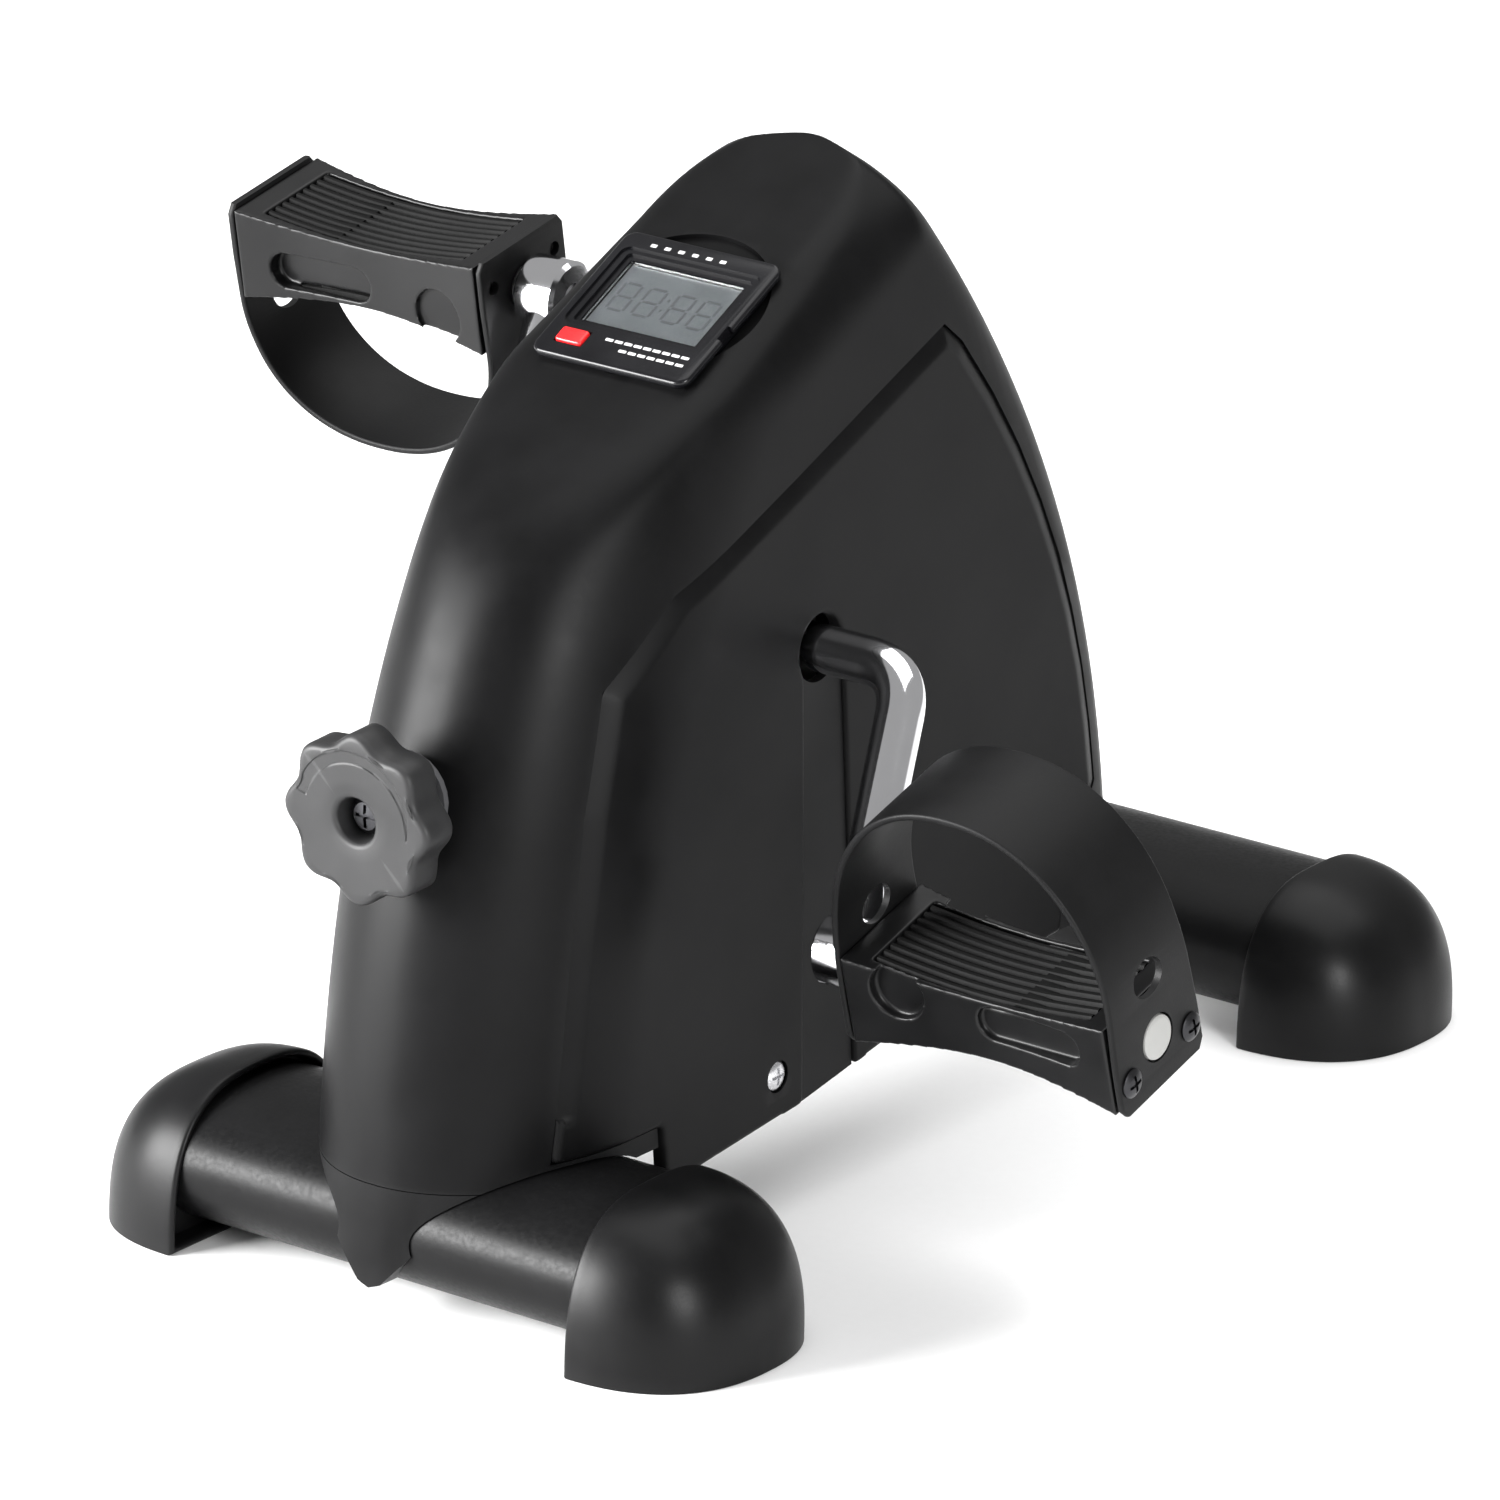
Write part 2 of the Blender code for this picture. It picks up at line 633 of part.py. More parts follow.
def crank():
    data = bpy.data.curves.new("crank path", 'CURVE')
    data.dimensions = '3D'
    data.bevel_depth = ROD_R
    data.bevel_resolution = 4
    data.use_fill_caps = True
    spline = data.splines.new('POLY')
    points = [p - Vector((0.0, AXIS_Y, AXIS_Z)) for p in crank_path()]
    spline.points.add(len(points) - 1)
    for slot, p in zip(spline.points, points):
        slot.co = (*p, 1.0)
    rod = bpy.data.objects.new("crank rod", data)
    CUTTERS.objects.link(rod)
    bpy.context.view_layer.update()
    depsgraph = bpy.context.evaluated_depsgraph_get()
    mesh = bpy.data.meshes.new_from_object(rod.evaluated_get(depsgraph))
    bpy.data.objects.remove(rod, do_unlink=True)
    bm = bmesh.new()
    bm.from_mesh(mesh)
    bmesh.ops.remove_doubles(bm, verts=bm.verts, dist=0.00001)
    bmesh.ops.recalc_face_normals(bm, faces=bm.faces)
    bm.to_mesh(mesh)
    bm.free()
    place = Matrix.Translation((0.0, AXIS_Y, AXIS_Z))
    obj = part("crank", mesh, ((0.82, 0.82, 0.84), 0.08, 1.0), place, True)
    for sign in (1, -1):
        end = arm_end(sign) - Vector((0.0, AXIS_Y, AXIS_Z))
        low, high = end.x - 0.0075, end.x + 0.0075
        label = "eye %d" % sign
        ring = prism_mesh(label, circle(EYE_R, 24, (end.y, end.z)), low, high, 'X')
        cut(obj, cutter(label, ring, place), 'UNION')
        label = "spindle bore %d" % sign
        bore = prism_mesh(label, circle(0.0043, 20, (end.y, end.z)), low - 0.01, high + 0.01, 'X')
        cut(obj, cutter(label, bore, place))
    return obj


# ---------------------------------------------------------------- brake

def brake_drum():
    inner = ROD_R + GAP
    profile = [(DRUM_R, 0.013), (DRUM_R, -0.013), (0.014, -0.013), (0.014, -0.017), (inner, -0.017),
               (inner, 0.017), (0.014, 0.017), (0.014, 0.013)]
    place = along_x((0.0, AXIS_Y, AXIS_Z))
    return lathe("brake_drum", profile, ((0.25, 0.25, 0.26), 0.35, 0.9), place, 32)


def shoe_matrix():
    """Origin where the knob's axis meets the drum at full travel, less the travel."""
    return knob_matrix(0.1320 - SHOE_TRAVEL)


def drum_room(name, extra):
    """Cylinder around the drum, shifted back by the travel, for the concave faces."""
    place = Matrix.Translation((0.0, -SHOE_TRAVEL * math.cos(KNOB_TILT), -SHOE_TRAVEL * math.sin(KNOB_TILT)))
    outline = circle(DRUM_R + extra, 40, (AXIS_Y, AXIS_Z))
    return cutter(name, prism_mesh(name, outline, -0.03, 0.03, 'X'), place)


def brake_shoe():
    mesh = box_mesh("brake_shoe", (0.026, 0.022, 0.024), (0.0, 0.0, 0.012))
    obj = part("brake_shoe", mesh, ((0.35, 0.34, 0.32), 0.55), shoe_matrix())
    cut(obj, drum_room("shoe face", 0.0033))
    hole = prism_mesh("shoe thread", circle(0.0043, 16), -0.03, 0.05, 'Z')
    cut(obj, cutter("shoe thread", hole, shoe_matrix()))
    return obj


def brake_pad():
    mesh = box_mesh("brake_pad", (0.024, 0.020, 0.030), (0.0, 0.0, -0.003))
    obj = part("brake_pad", mesh, ((0.22, 0.20, 0.17), 0.95), shoe_matrix())
    cut(obj, drum_room("pad back", 0.0030), 'INTERSECT')
    cut(obj, drum_room("pad face", GAP))
    return obj


def shoe_guide():
    """Channel bolted across the bracket that keeps the shoe from turning."""
    outer = box_mesh("shoe_guide", (0.0464, 0.034, 0.030), (0.0, 0.0, 0.021))
    obj = part("shoe_guide", outer, ((0.05, 0.05, 0.052), 0.5), shoe_matrix())
    channel = box_mesh("guide channel", (0.0268, 0.0228, 0.05), (0.0, 0.0, 0.0073))
    cut(obj, cutter("guide channel", channel, shoe_matrix()))
    hole = prism_mesh("guide hole", circle(0.0045, 16), -0.03, 0.08, 'Z')
    cut(obj, cutter("guide hole", hole, shoe_matrix()))
    cut(obj, drum_room("guide face", 0.0055))
    return obj


def tension_screw():
    """Screw from the knob back to the shoe, with a collar behind the casing wall."""
    profile = [(0.0040, -0.0107), (0.0040, -0.0350), (0.0075, -0.0350), (0.0075, -0.0370), (0.0040, -0.0370),
               (0.0040, -0.1180), (0.0, -0.1180)]
    profile = [(0.0, -0.0107)] + profile
    return lathe("tension_screw", profile, ((0.55, 0.55, 0.57), 0.3, 1.0), knob_matrix(), 20, False)


def tension_knob():
    """Eight-lobed knob with a neck and a countersunk centre."""
    outline = []
    for i in range(48):
        t = 2 * math.pi * i / 48
        r = KNOB_R + 0.0016 * math.cos(8 * t)
        outline.append((r * math.cos(t), r * math.sin(t)))
    obj = part("tension_knob", prism_mesh("tension_knob", outline, -KNOB_T, 0.0, 'Z'),
               ((0.02, 0.02, 0.021), 0.45), knob_matrix(), True)
    bevel(obj, 0.0022, 1, 60.0)
    neck = prism_mesh("knob neck", circle(0.0110, 28), -KNOB_T - 0.0120, -KNOB_T + 0.004, 'Z')
    cut(obj, cutter("knob neck", neck, knob_matrix()), 'UNION')
    well = prism_mesh("knob well", circle(0.0068, 24), -0.0085, 0.01, 'Z')
    cut(obj, cutter("knob well", well, knob_matrix()))
    hole = prism_mesh("knob bore", circle(0.0043, 20), -0.05, 0.01, 'Z')
    cut(obj, cutter("knob bore", hole, knob_matrix()))
    return obj


def knob_screw():
    profile = [(0.0, -0.0046), (0.0042, -0.0050), (0.0058, -0.0066), (0.0058, -0.0081), (0.0036, -0.0082),
               (0.0036, -0.0103), (0.0, -0.0103)]
    obj = lathe("knob_screw", profile, ((0.08, 0.08, 0.085), 0.3, 1.0), knob_matrix(), 20, False)
    for k in range(2):
        size = (0.0070, 0.0011, 0.0020) if k == 0 else (0.0011, 0.0070, 0.0020)
        name = "knob screw slot %d" % k
        cut(obj, cutter(name, box_mesh(name, size, (0.0, 0.0, -0.0050)), knob_matrix()))
    return obj


def knob_bush():
    """Sleeve in the casing wall in which the screw turns."""
    profile = [(0.0130, -0.0249), (0.0130, -0.0268), (0.0082, -0.0282), (0.0082, -0.0345), (0.0043, -0.0345),
               (0.0043, -0.0249)]
    obj = lathe("knob_bush", profile, ((0.03, 0.03, 0.03), 0.45), knob_matrix(), 24)
    cut(obj, cutter("wall room", casing_solid("wall room", GAP, 0.1)))
    return obj


# ---------------------------------------------------------------- display unit

def display_housing():
    mesh = prism_mesh("display_housing", rounded_box(UNIT_W / 2, UNIT_H / 2, 0.004), 0.0004, 0.0032, 'Z')
    place = display_matrix()
    obj = part("display_housing", mesh, ((0.013, 0.013, 0.015), 0.3), place)
    bevel(obj, 0.0009, 1, 60.0)
    body = box_mesh("housing body", (UNIT_W - 0.004, UNIT_H - 0.004, 0.0130), (0.0, 0.0, -0.0045))
    cut(obj, cutter("housing body", body, place), 'UNION')
    room = box_mesh("housing room", (UNIT_W - 0.008, UNIT_H - 0.008, 0.0120), (0.0, 0.0, -0.0064))
    cut(obj, cutter("housing room", room, place))
    frame = prism_mesh("window frame", rounded_box(0.0250, 0.0172, 0.003, 3, (0.0, 0.0035)), 0.0022, 0.01, 'Z')
    cut(obj, cutter("window frame", frame, place))
    view = box_mesh("window opening", (0.0412, 0.0270, 0.03), (0.0, 0.0030, 0.0))
    cut(obj, cutter("window opening", view, place))
    key = box_mesh("button opening", (0.0100, 0.0064, 0.03), BUTTON_CENTRE)
    cut(obj, cutter("button opening", key, place))
    notch = box_mesh("edge notch", (0.0030, 0.0060, 0.02), (UNIT_W / 2, -0.0040, 0.008))
    cut(obj, cutter("edge notch", notch, place))
    return obj


BUTTON_CENTRE = (-0.0172, -0.0190, 0.0)


def display_window():
    mesh = box_mesh("display_window", (0.0406, 0.0264, 0.0010), (0.0, 0.0030, 0.0012))
    return part("display_window", mesh, ((0.30, 0.33, 0.34), 0.05), display_matrix())


def display_panel():
    mesh = box_mesh("display_panel", (0.0400, 0.0258, 0.0012), (0.0, 0.0030, -0.0003))
    return part("display_panel", mesh, ((0.30, 0.34, 0.33), 0.35), display_matrix())


def mode_button():
    """Button cap with a wider skirt that keeps it in the housing."""
    centre = display_matrix() @ Matrix.Translation(BUTTON_CENTRE)
    mesh = box_mesh("mode_button", (0.0094, 0.0058, 0.0052), (0.0, 0.0, 0.0017))
    obj = part("mode_button", mesh, ((0.75, 0.02, 0.02), 0.35), centre)
    bevel(obj, 0.0006, 1)
    skirt = box_mesh("button skirt", (0.0112, 0.0076, 0.0010), (0.0, 0.0, -0.0012))
    cut(obj, cutter("button skirt", skirt, centre), 'UNION')
    return obj


def display_board():
    mesh = box_mesh("display_board", (0.0460, 0.0440, 0.0012), (0.0, 0.0, -0.0042))
    return part("display_board", mesh, ((0.02, 0.16, 0.06), 0.5), display_matrix())


def display_battery():
    place = display_matrix() @ Matrix.Translation((0.008, -0.006, -0.0067))
    profile = [(0.0, 0.0014), (0.0075, 0.0014), (0.0080, 0.0009), (0.0080, -0.0014), (0.0, -0.0014)]
    return lathe("display_battery", profile, ((0.75, 0.75, 0.76), 0.25, 1.0), place, 24, False)


def display_back():
    """Snap-in back of the display unit, with a slot where the wire leaves."""
    mesh = box_mesh("display_back", (0.0472, 0.0456, 0.0016), (0.0, 0.0, -0.0097))
    obj = part("display_back", mesh, ((0.02, 0.02, 0.021), 0.5), display_matrix())
    slot = box_mesh("wire slot", (0.006, 0.006, 0.01), (-0.012, -0.012, -0.0097))
    cut(obj, cutter("wire slot", slot, display_matrix()))
    return obj


# ---------------------------------------------------------------- turn sensor

def crank_magnet():
    """Round magnet on the flank of the drum."""
    place = along_x((0.01335, AXIS_Y, AXIS_Z + 0.026))
    profile = [(0.0, 0.0026), (0.0035, 0.0026), (0.0035, 0.0), (0.0, 0.0)]
    return lathe("crank_magnet", profile, ((0.6, 0.6, 0.62), 0.3, 1.0), place, 16, False)


def turn_sensor():
    mesh = box_mesh("turn_sensor", (0.0050, 0.0100, 0.0160), (0.0206, AXIS_Y - 0.004, AXIS_Z + 0.0330))
    obj = part("turn_sensor", mesh, ((0.02, 0.02, 0.02), 0.5))
    bevel(obj, 0.0008, 1)
    return obj


def sensor_wire():
    """Thin lead from the sensor up to the display board."""
    data = bpy.data.curves.new("sensor_wire", 'CURVE')
    data.dimensions = '3D'
    data.bevel_depth = 0.0009
    data.bevel_resolution = 1
    data.use_fill_caps = True
    start = Vector((0.0206, AXIS_Y - 0.004, AXIS_Z + 0.0413))
    stop = display_matrix() @ Vector((-0.012, -0.012, -0.0051))
    over = display_matrix() @ Vector((-0.012, -0.012, -0.0160))
    rise = start + Vector((0.0, 0.0, 0.012))
    spline = data.splines.new('POLY')
    points = [start]
    for k in range(9):
        s = k / 8
        points.append(rise * (1 - s) ** 2 + Vector((0.014, -0.075, 0.238)) * 2 * s * (1 - s) + over * s ** 2)
    points.append(stop)
    spline.points.add(len(points) - 1)
    for slot, p in zip(spline.points, points):
        slot.co = (*p, 1.0)
    obj = bpy.data.objects.new("sensor_wire", data)
    PARTS.objects.link(obj)
    data.materials.append(material("sensor_wire", (0.03, 0.03, 0.03), 0.6))
    return obj


# ---------------------------------------------------------------- pedals

def pedal_matrix(sign):
    """Pedal frame on its own axis: X outward along the machine, strap towards local +Z."""
    end = arm_end(sign)
    angle = PEDAL_TILT[1] if sign > 0 else PEDAL_TILT[-1] + math.pi
    return Matrix.Translation((0.0, end.y, end.z)) @ Matrix.Rotation(angle, 4, 'X')


def span(sign, low, high):
    return sorted((sign * low, sign * high))


def pedal_body(side, sign):
    """Waisted block: side view and top view outlines crossed, flanges at both ends."""
    name = "pedal_body_" + side
    place = pedal_matrix(sign)
    mid, half = 0.5 * (PEDAL_IN + PEDAL_OUT), 0.5 * (PEDAL_OUT - PEDAL_IN)

    def waist(full, depth, count=8):
        upper = []
        for k in range(count + 1):
            s = -1 + 2 * k / count
            upper.append((sign * (mid + half * s), full - depth * math.cos(0.5 * math.pi * s)))
        return upper + [(u, -v) for u, v in reversed(upper)]

    top = prism_mesh(name, waist(PEDAL_HALF_W - 0.0010, 0.0035), -0.03, 0.03, 'Z')
    obj = part(name, top, ((0.014, 0.014, 0.014), 0.38), place, True)
    label = name + " side view"
    cut(obj, cutter(label, prism_mesh(label, waist(PEDAL_HALF_T, PEDAL_SAG), -0.04, 0.04, 'Y'), place), 'INTERSECT')
    bevel(obj, 0.0022, 1, 50.0)
    low, high = span(sign, PEDAL_IN - 0.01, PEDAL_OUT + 0.01)
    label = name + " bore"
    cut(obj, cutter(label, prism_mesh(label, circle(0.0072, 20), low, high, 'X'), place))
    for k, flank in enumerate((-1, 1)):
        label = "%s dimple %d" % (name, k)
        low, high = sorted((flank * (PEDAL_HALF_W - 0.0050), flank * 0.03))
        dimple = prism_mesh(label, circle(0.0085, 20, (sign * 0.1190, 0.0060)), low, high, 'Y')
        cut(obj, cutter(label, dimple, place))
        label = "%s hollow %d" % (name, k)
        low, high = sorted((flank * (PEDAL_HALF_W - 0.0064), flank * 0.03))
        hollow = rounded_box(0.0180, 0.0055, 0.0052, 4, (sign * 0.1640, 0.0030))
        cut(obj, cutter(label, prism_mesh(label, hollow, low, high, 'Y'), place))
    for k, face in enumerate((1, -1)):
        label = "%s tread bed %d" % (name, k)
        outline = [(-0.0156, PEDAL_HALF_T - 0.0035), (0.0156, PEDAL_HALF_T - 0.0035),
                   (0.0156, PEDAL_HALF_T + 0.01), (-0.0156, PEDAL_HALF_T + 0.01)]
        cut(obj, cutter(label, sagging(label, outline, sign * mid, 0.0376, face), place))
    return obj


def sagging(name, outline, mid, half, face):
    """Bar along X with the given (y, z) section, its height following the pedal's waist."""
    count, stations = len(outline), 9
    verts = []
    for k in range(stations):
        x = mid - half + 2 * half * k / (stations - 1)
        share = (x - mid) / (0.5 * (PEDAL_OUT - PEDAL_IN))
        drop = PEDAL_SAG * math.cos(0.5 * math.pi * share)
        verts += [(x, u, face * (v - drop)) for u, v in outline]
    faces = [(k * count + i, k * count + (i + 1) % count, (k + 1) * count + (i + 1) % count, (k + 1) * count + i)
             for k in range(stations - 1) for i in range(count)]
    faces += [tuple(range(count)), tuple(range((stations - 1) * count, stations * count))]
    return face_outward(mesh_from(name, verts, faces))


def pedal_tread(side, sign, face):
    """Ribbed rubber pad let into the upper or lower face of the pedal."""
    name = "pedal_tread_%s_%s" % (side, "strap_side" if face > 0 else "far_side")
    mid = 0.5 * (PEDAL_IN + PEDAL_OUT)
    count = 8
    crest, root, base = PEDAL_HALF_T - 0.0002, PEDAL_HALF_T - 0.0016, PEDAL_HALF_T - 0.0032
    pitch = 0.0304 / (2 * count + 1)
    outline = [(-0.0152, base), (0.0152, base)]
    for k in range(2 * count + 1):
        right = 0.0152 - k * pitch
        height = crest if k % 2 == 0 else root
        outline += [(right, height), (right - pitch, height)]
    mesh = sagging(name, outline, sign * mid, 0.0372, face)
    return part(name, mesh, ((0.012, 0.012, 0.012), 0.7), pedal_matrix(sign))


def strap_path(sign, height):
    """Middle line of the strap in local (x, z): up the ends and over in half an ellipse."""
    inner, outer = PEDAL_IN - 0.0018, PEDAL_OUT + 0.0018
    mid, half, foot, base = 0.5 * (inner + outer), 0.5 * (outer - inner), -0.0157, 0.014
    points = [(inner, foot), (inner, 0.0021)]
    for k in range(15):
        t = math.pi * (1 - k / 14)
        points.append((mid + half * math.copysign(abs(math.cos(t)) ** 0.92, math.cos(t)),
                       base + (height - base) * math.sin(t) ** 0.92))
    points += [(outer, 0.0021), (outer, foot)]
    return [Vector((sign * x, z)) for x, z in points]


def strap(side, sign, height):
    """Rubber ribbon over the foot, screwed to both ends of the pedal."""
    name = "pedal_strap_" + side
    path = strap_path(sign, height)
    count = len(path)
    verts, faces = [], []
    for i, p in enumerate(path):
        ahead = (path[min(i + 1, count - 1)] - path[max(i - 1, 0)]).normalized()
        normal = Vector((-ahead.y, ahead.x)) * STRAP_T / 2
        arch = max(0.0, min(1.0, p.y / 0.030))
        wide = 0.0206 - (0.0206 - STRAP_HALF_W) * arch
        for q, w in ((p + normal, wide), (p - normal, wide)):
            verts += [(q.x, -w, q.y), (q.x, w, q.y)]
    for i in range(count - 1):
        a, b = 4 * i, 4 * (i + 1)
        faces += [(a, a + 1, b + 1, b), (a + 3, a + 2, b + 2, b + 3),
                  (a + 1, a + 3, b + 3, b + 1), (a + 2, a, b, b + 2)]
    faces += [(0, 2, 3, 1), (4 * count - 4, 4 * count - 3, 4 * count - 1, 4 * count - 2)]
    faces = [f for a, b, c, d in faces for f in ((a, b, c), (a, c, d))]
    mesh = face_outward(mesh_from(name, verts, faces))
    place = pedal_matrix(sign)
    obj = part(name, mesh, ((0.013, 0.013, 0.013), 0.6), place, True)
    tools = [("cap hole", circle(0.0074, 20)), ("key hole", circle(0.0058, 20, (0.0, 0.0205), 0.0, 2.0, 1.2))]
    tools += [("screw hole %d" % k, circle(0.0023, 12, (k * SCREW_Y, SCREW_Z))) for k in (-1, 1)]
    for label, outline in tools:
        label = name + " " + label
        low, high = span(sign, 0.05, 0.23)
        cut(obj, cutter(label, prism_mesh(label, outline, low, high, 'X'), place))
    return obj


SCREW_Y = 0.0150
SCREW_Z = -0.0060


def strap_screw(side, sign, k):
    """Cross-head screw through the strap into the outer end of the pedal."""
    name = "strap_screw_%s_%s" % (side, "front" if k * sign < 0 else "rear")
    place = pedal_matrix(sign) @ along_x((sign * (PEDAL_OUT + 0.0018), k * SCREW_Y, SCREW_Z), sign)
    face = STRAP_T / 2 + GAP
    profile = [(0.0, face + 0.0016), (0.0028, face + 0.0013), (0.0044, face + 0.0004), (0.0044, face),
               (0.0019, face), (0.0019, -0.0014), (0.0, -0.0014)]
    obj = lathe(name, profile, ((0.02, 0.02, 0.02), 0.3, 0.6), place, 12, False)
    for j in range(2):
        size = (0.0050, 0.0009, 0.0016) if j == 0 else (0.0009, 0.0050, 0.0016)
        label = "%s slot %d" % (name, j)
        cut(obj, cutter(label, box_mesh(label, size, (0.0, 0.0, face + 0.0014)), place))
    return obj


def pedal_cap(side, sign):
    """Pressed-in dust cap that carries the side mark."""
    place = pedal_matrix(sign) @ along_x((sign * PEDAL_OUT, 0.0, 0.0), sign)
    profile = [(0.0, 0.0034), (0.0060, 0.0034), (0.0068, 0.0028), (0.0068, -0.0040), (0.0, -0.0040)]
    return lathe("pedal_cap_" + side, profile, ((0.80, 0.80, 0.78), 0.4), place, 24, False)


def spindle(side, sign):
    """Steel spindle screwed into the crank eye; the pedal turns on it."""
    end = arm_end(sign)
    place = along_x((sign * (EYE_X + 0.0078), end.y, end.z), sign)
    reach = PEDAL_OUT - 0.0050 - (EYE_X + 0.0078)
    profile = [(0.0, reach), (SPINDLE_R - 0.001, reach), (SPINDLE_R, reach - 0.001), (SPINDLE_R, 0.0016),
               (0.0078, 0.0016), (0.0078, 0.0), (0.0040, 0.0), (0.0040, -0.0140), (0.0, -0.0140)]
    return lathe("pedal_spindle_" + side, profile, ((0.5, 0.5, 0.52), 0.3, 1.0), place, 20, False)


# ---------------------------------------------------------------- assembly

def build_casing():
    tools = casing_cutters()
    centre_cover(tools)
    for side in ("right", "left"):
        side_cover(tools, side)
        slot_strip(tools, side)
        cover_screw(side)
    front_saddle()


def build_base():
    for name, y in (("front", -BAR_Y), ("rear", BAR_Y)):
        foot_tube(name + "_tube", y)
        for side, sign in (("right", 1), ("left", -1)):
            end_cap("%s_cap_%s" % (name, side), y, sign)
            bar_bolt("%s_bolt_%s" % (name, side), sign * BOLT_X, y)
    frame_rail()
    bearing_bracket()


def build_drive():
    crank()
    brake_drum()
    for side in ("right", "left"):
        bush(side)
    brake_shoe()
    brake_pad()
    shoe_guide()
    tension_screw()
    tension_knob()
    knob_screw()
    knob_bush()
    crank_magnet()
    turn_sensor()
    sensor_wire()


def build_display():
    display_housing()
    display_window()
    display_panel()
    mode_button()
    display_board()
    display_battery()
    display_back()


def build_pedals():
    for side, sign, height in (("right", 1, 0.0725), ("left", -1, 0.0560)):
        spindle(side, sign)
        pedal_body(side, sign)
        for face in (1, -1):
            pedal_tread(side, sign, face)
        strap(side, sign, height)
        pedal_cap(side, sign)
        for k in (-1, 1):
            strap_screw(side, sign, k)


def shift_machine():
    for obj in list(PARTS.objects) + list(CUTTERS.objects):
        driven = obj.name == "crank" or obj.name.startswith(("pedal", "strap", "eye", "spindle"))
        obj.matrix_world = Matrix.Translation((CRANK_SHIFT * driven, SHIFT_Y, 0.0)) @ obj.matrix_world


clear_scene()
make_collections()
build_base()
build_casing()
build_drive()
build_display()
build_pedals()
shift_machine()
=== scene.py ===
import math

import bmesh
import bpy
import numpy as np
from mathutils import Matrix, Vector
from mathutils.geometry import delaunay_2d_cdt


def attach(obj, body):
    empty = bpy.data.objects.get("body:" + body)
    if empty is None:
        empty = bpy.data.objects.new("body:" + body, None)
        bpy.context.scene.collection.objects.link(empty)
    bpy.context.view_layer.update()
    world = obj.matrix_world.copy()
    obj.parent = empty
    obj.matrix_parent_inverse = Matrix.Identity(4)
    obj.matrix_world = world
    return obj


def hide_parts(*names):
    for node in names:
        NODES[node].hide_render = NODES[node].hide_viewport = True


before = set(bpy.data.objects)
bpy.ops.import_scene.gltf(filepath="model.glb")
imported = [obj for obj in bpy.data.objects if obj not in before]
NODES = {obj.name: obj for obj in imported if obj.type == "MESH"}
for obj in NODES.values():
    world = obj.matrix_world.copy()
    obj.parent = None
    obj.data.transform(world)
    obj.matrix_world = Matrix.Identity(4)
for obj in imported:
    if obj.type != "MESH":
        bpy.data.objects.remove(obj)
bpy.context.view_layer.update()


# ------------------------------------------------------------------ materials

def tree(name):
    mat = bpy.data.materials.new(name)
    mat.use_nodes = True
    nodes = mat.node_tree.nodes
    return mat, nodes, mat.node_tree.links, nodes["Principled BSDF"]


def noise(nodes, links, scale, detail=3.0, rough=0.55, stretch=(1, 1, 1)):
    """Noise in object space, scale in cycles per metre."""
    mapping = nodes.new("ShaderNodeMapping")
    mapping.inputs["Scale"].default_value = stretch
    links.new(nodes.new("ShaderNodeTexCoord").outputs["Object"], mapping.inputs["Vector"])
    tex = nodes.new("ShaderNodeTexNoise")
    tex.inputs["Scale"].default_value = scale
    tex.inputs["Detail"].default_value = detail
    tex.inputs["Roughness"].default_value = rough
    links.new(mapping.outputs["Vector"], tex.inputs["Vector"])
    return tex.outputs["Fac"]


def remap(nodes, links, value, low, high, out_low, out_high):
    node = nodes.new("ShaderNodeMapRange")
    node.inputs["From Min"].default_value = low
    node.inputs["From Max"].default_value = high
    node.inputs["To Min"].default_value = out_low
    node.inputs["To Max"].default_value = out_high
    links.new(value, node.inputs["Value"])
    return node.outputs["Result"]


def mix_color(nodes, links, factor, a, b):
    node = nodes.new("ShaderNodeMix")
    node.data_type = 'RGBA'
    for index, value in ((6, a), (7, b)):
        if isinstance(value, tuple):
            node.inputs[index].default_value = (*value, 1.0)
        else:
            links.new(value, node.inputs[index])
    links.new(factor, node.inputs[0])
    return node.outputs[2]


def bump(nodes, links, bsdf, height, distance, strength):
    node = nodes.new("ShaderNodeBump")
    node.inputs["Distance"].default_value = distance
    node.inputs["Strength"].default_value = strength
    links.new(height, node.inputs["Height"])
    links.new(node.outputs["Normal"], bsdf.inputs["Normal"])


def moulded(name, color, rough, grain=2600.0, depth=0.00003, tint=0.25, specular=0.5, edge_paling=0.5):
    """Moulded plastic or rubber: spark-eroded grain, patchy gloss, paler sharp edges."""
    mat, nodes, links, bsdf = tree(name)
    patch = noise(nodes, links, 38.0, 4.0)
    fine = noise(nodes, links, grain, 2.0, 0.6)
    darker = tuple(c * (1 - tint) for c in color)
    lighter = tuple(c * (1 + tint) for c in color)
    base = mix_color(nodes, links, remap(nodes, links, patch, 0.3, 0.7, 0, 1), darker, lighter)
    # sharp convex edges (high pointiness) are mixed towards a paler colour, up to the given share
    edge = nodes.new("ShaderNodeNewGeometry").outputs["Pointiness"]
    sharp_edge_share = remap(nodes, links, edge, 0.515, 0.60, 0.0, edge_paling)
    pale = tuple(min(c * 2.2 + 0.012, 1.0) for c in color)
    base = mix_color(nodes, links, sharp_edge_share, base, pale)
    links.new(base, bsdf.inputs["Base Color"])
    blend = nodes.new("ShaderNodeMath")
    blend.operation = 'MULTIPLY_ADD'
    links.new(fine, blend.inputs[0])
    blend.inputs[1].default_value = 0.10
    links.new(remap(nodes, links, patch, 0.3, 0.7, rough - 0.08, rough + 0.02), blend.inputs[2])
    links.new(blend.outputs[0], bsdf.inputs["Roughness"])
    bsdf.inputs["Specular IOR Level"].default_value = specular
    bump(nodes, links, bsdf, fine, depth, 0.55)
    return mat


